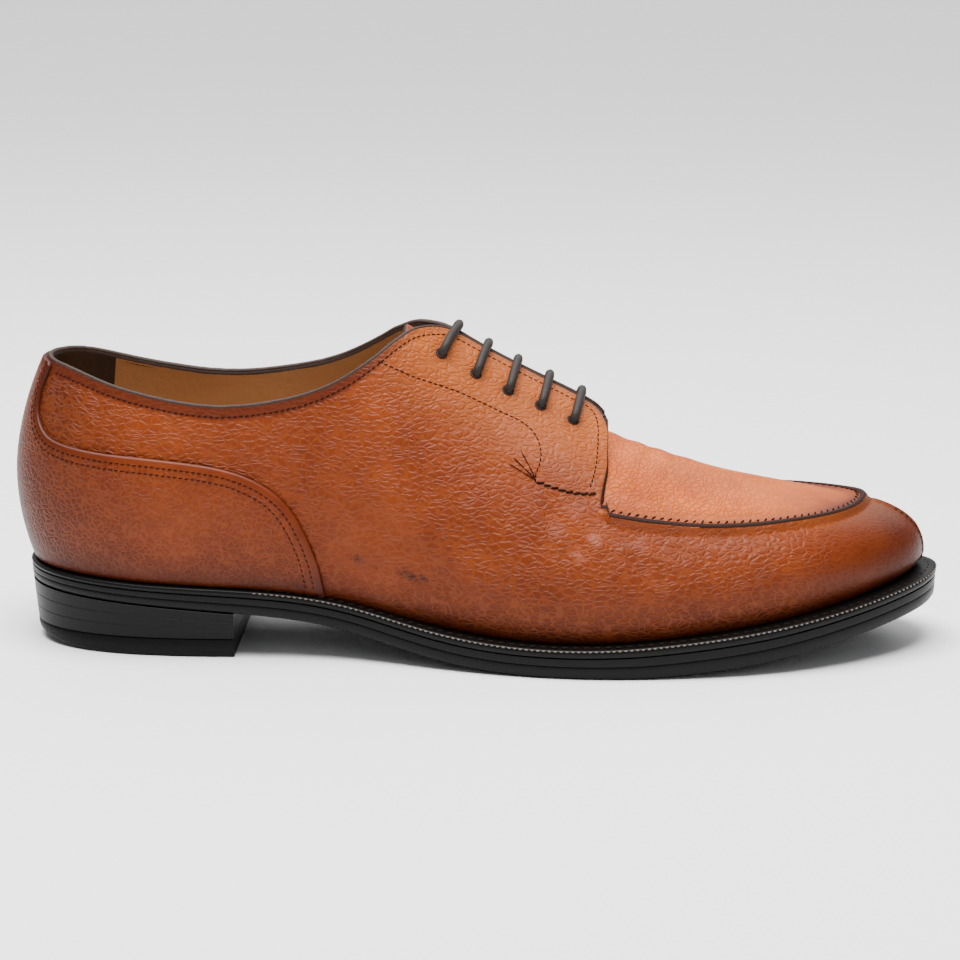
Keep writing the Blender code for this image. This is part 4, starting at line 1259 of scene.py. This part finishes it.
def buildLaces():
    points, faces, start = [], [], 0
    for ridgeX, eyeletX in laceRows:
        route = []
        for outer in (True, False):
            run = []
            for half, height in laceRise:
                x = ridgeX + (eyeletX - ridgeX) * half / eyelet["half"]
                run.append(facingPoint(x, half, outer, height)[0])
            route += run if outer else run[::-1]
        route = np.array(route)
        size = runLength(np.linalg.norm(np.diff(route, axis=0), axis=1))
        fine = sampled(np.linspace(0, size[-1], 150), size, route)
        for _ in range(14):
            fine[1:-1] = 0.25 * fine[:-2] + 0.5 * fine[1:-1] + 0.25 * fine[2:]
        body = tube(fine, lace["radius"])
        points.append(body.reshape(-1, 3))
        faces += (tubeFaces(*body.shape[:2]) + start).tolist()
        start += body.shape[0] * body.shape[1]
    cordFinish = plain("laceCord", (0.016, 0.011, 0.009), 0.6, 0.0, 0.5, 2400, 0.25)
    made = makeMesh("laceBars", np.concatenate(points), faces, [cordFinish])
    place(made, "lace_cord", *[f"lace_bar_{k}" for k in range(1, 6)])
    # the holes are not cut: a near-black disc inside each pressed rim is painted shade of the hole
    points, faces, choice, start = [], [], [], 0
    sides, rings = eyelet["sides"], eyelet["rings"]
    a = np.linspace(0, 2 * pi, sides, endpoint=False)
    for _, eyeletX in laceRows:
        for outer in (True, False):
            centre, n = facingPoint(eyeletX, eyelet["half"], outer, 0.0)
            side = unit(np.cross(n, [1.0, 0, 0]))
            other = np.cross(n, side)
            circle = np.cos(a)[:, None] * side + np.sin(a)[:, None] * other
            points += [centre + n * height + radius * circle for radius, height in rings]
            faces += (tubeFaces(len(rings), sides) + start).tolist()
            choice += [0] * 2 * sides + [1] * (len(rings) - 3) * sides
            start += sides * len(rings)
    made = makeMesh("laceHoles", np.concatenate(points), faces, [paintedHoleShade, cutEdge], choice, weld=1e-6)
    place(made, "upper_leather")


buildLaces()
print("laces made")


# binding along the topline and the facings

binding = {"radius": 0.72, "sides": 8}


def buildBinding():
    end = float(along(192.5))
    turns = np.concatenate([np.linspace(end, 0, 420), -np.linspace(0, end, 420)[1:]])
    top = smoothed(topEdge(np.mod(turns, 2 * pi)), 3)
    px = plan(turns)[0]
    seamish = np.full(len(turns), 0.56)
    rise = -0.75 + facingStep * smoothStep(150, 186, px) + creaseLift(turns, top, True)
    path = surface(turns, top + 0.35 / perShare(turns, top, True), shareOf(px, top, seamish), rise)
    for _ in range(3):
        path[1:-1] = 0.25 * path[:-2] + 0.5 * path[1:-1] + 0.25 * path[2:]
    step = unit(np.gradient(path, axis=0))
    side = surfaceNormal(turns, top, 1.0)
    side = unit(side - step * (side * step).sum(1, keepdims=True))
    other = np.cross(step, side)
    a = np.linspace(0, 2 * pi, binding["sides"], endpoint=False)
    ring = np.cos(a)[None, :, None] * side[:, None] * 1.35 + np.sin(a)[None, :, None] * other[:, None]
    body = path[:, None] + ring * binding["radius"]
    faces = tubeFaces(*body.shape[:2]).tolist()
    place(makeMesh("toplineBinding", body.reshape(-1, 3), faces, [rawEdge]), "upper_leather")


buildBinding()
print("binding made")


# floor, light, camera


def addFloor():
    bpy.ops.mesh.primitive_plane_add(size=40, location=(0, 0, 0))
    floor = bpy.context.object
    floor.name = "floor"
    floor.data.materials.append(plain("floorPale", (0.90, 0.90, 0.90), 0.55))


def addLight(name, location, target, size, power):
    data = bpy.data.lights.new(name, "AREA")
    data.shape = "RECTANGLE"
    data.size, data.size_y = size
    data.energy = power
    made = bpy.data.objects.new(name, data)
    made.location = location
    made.rotation_euler = (Vector(target) - Vector(location)).to_track_quat("-Z", "Y").to_euler()
    bpy.context.scene.collection.objects.link(made)


def addCamera():
    azimuth, elevation, roll = np.radians([2.0, 13.0, 0.25])
    distance = 1.045
    level = np.cos(elevation)
    forward = np.array([-np.sin(azimuth) * level, np.cos(azimuth) * level, -np.sin(elevation)])
    right = np.array([np.cos(azimuth), np.sin(azimuth), 0.0])
    up = np.cross(right, forward)
    right, up = np.cos(roll) * right + np.sin(roll) * up, -np.sin(roll) * right + np.cos(roll) * up
    target = toWorld([151.8, 0.0, 53.6])
    data = bpy.data.cameras.new("camera")
    data.lens = 3110 / 960 * data.sensor_width
    made = bpy.data.objects.new("camera", data)
    turn = Matrix([[*right], [*up], [*(-forward)]]).transposed()
    made.matrix_world = Matrix.Translation(Vector(target - forward * distance)) @ turn.to_4x4()
    bpy.context.scene.collection.objects.link(made)
    bpy.context.scene.camera = made


addFloor()
addLight("topSoftbox", (-0.10, -0.15, 1.30), (0.0, 0.0, 0.05), (1.2, 0.8), 62)
addLight("frontSoftbox", (0.55, -1.30, 0.75), (0.0, 0.0, 0.05), (0.9, 0.7), 2.0)
addLight("backWash", (0.0, 3.0, 2.4), (0.0, 2.6, 0.0), (6.5, 3.6), 170)
world = bpy.data.worlds.new("studio")
world.use_nodes = True
setValues(world.node_tree.nodes["Background"], Color=(0.95, 0.97, 1.0, 1), Strength=0.30)
bpy.context.scene.world = world
addCamera()
print("stage made")
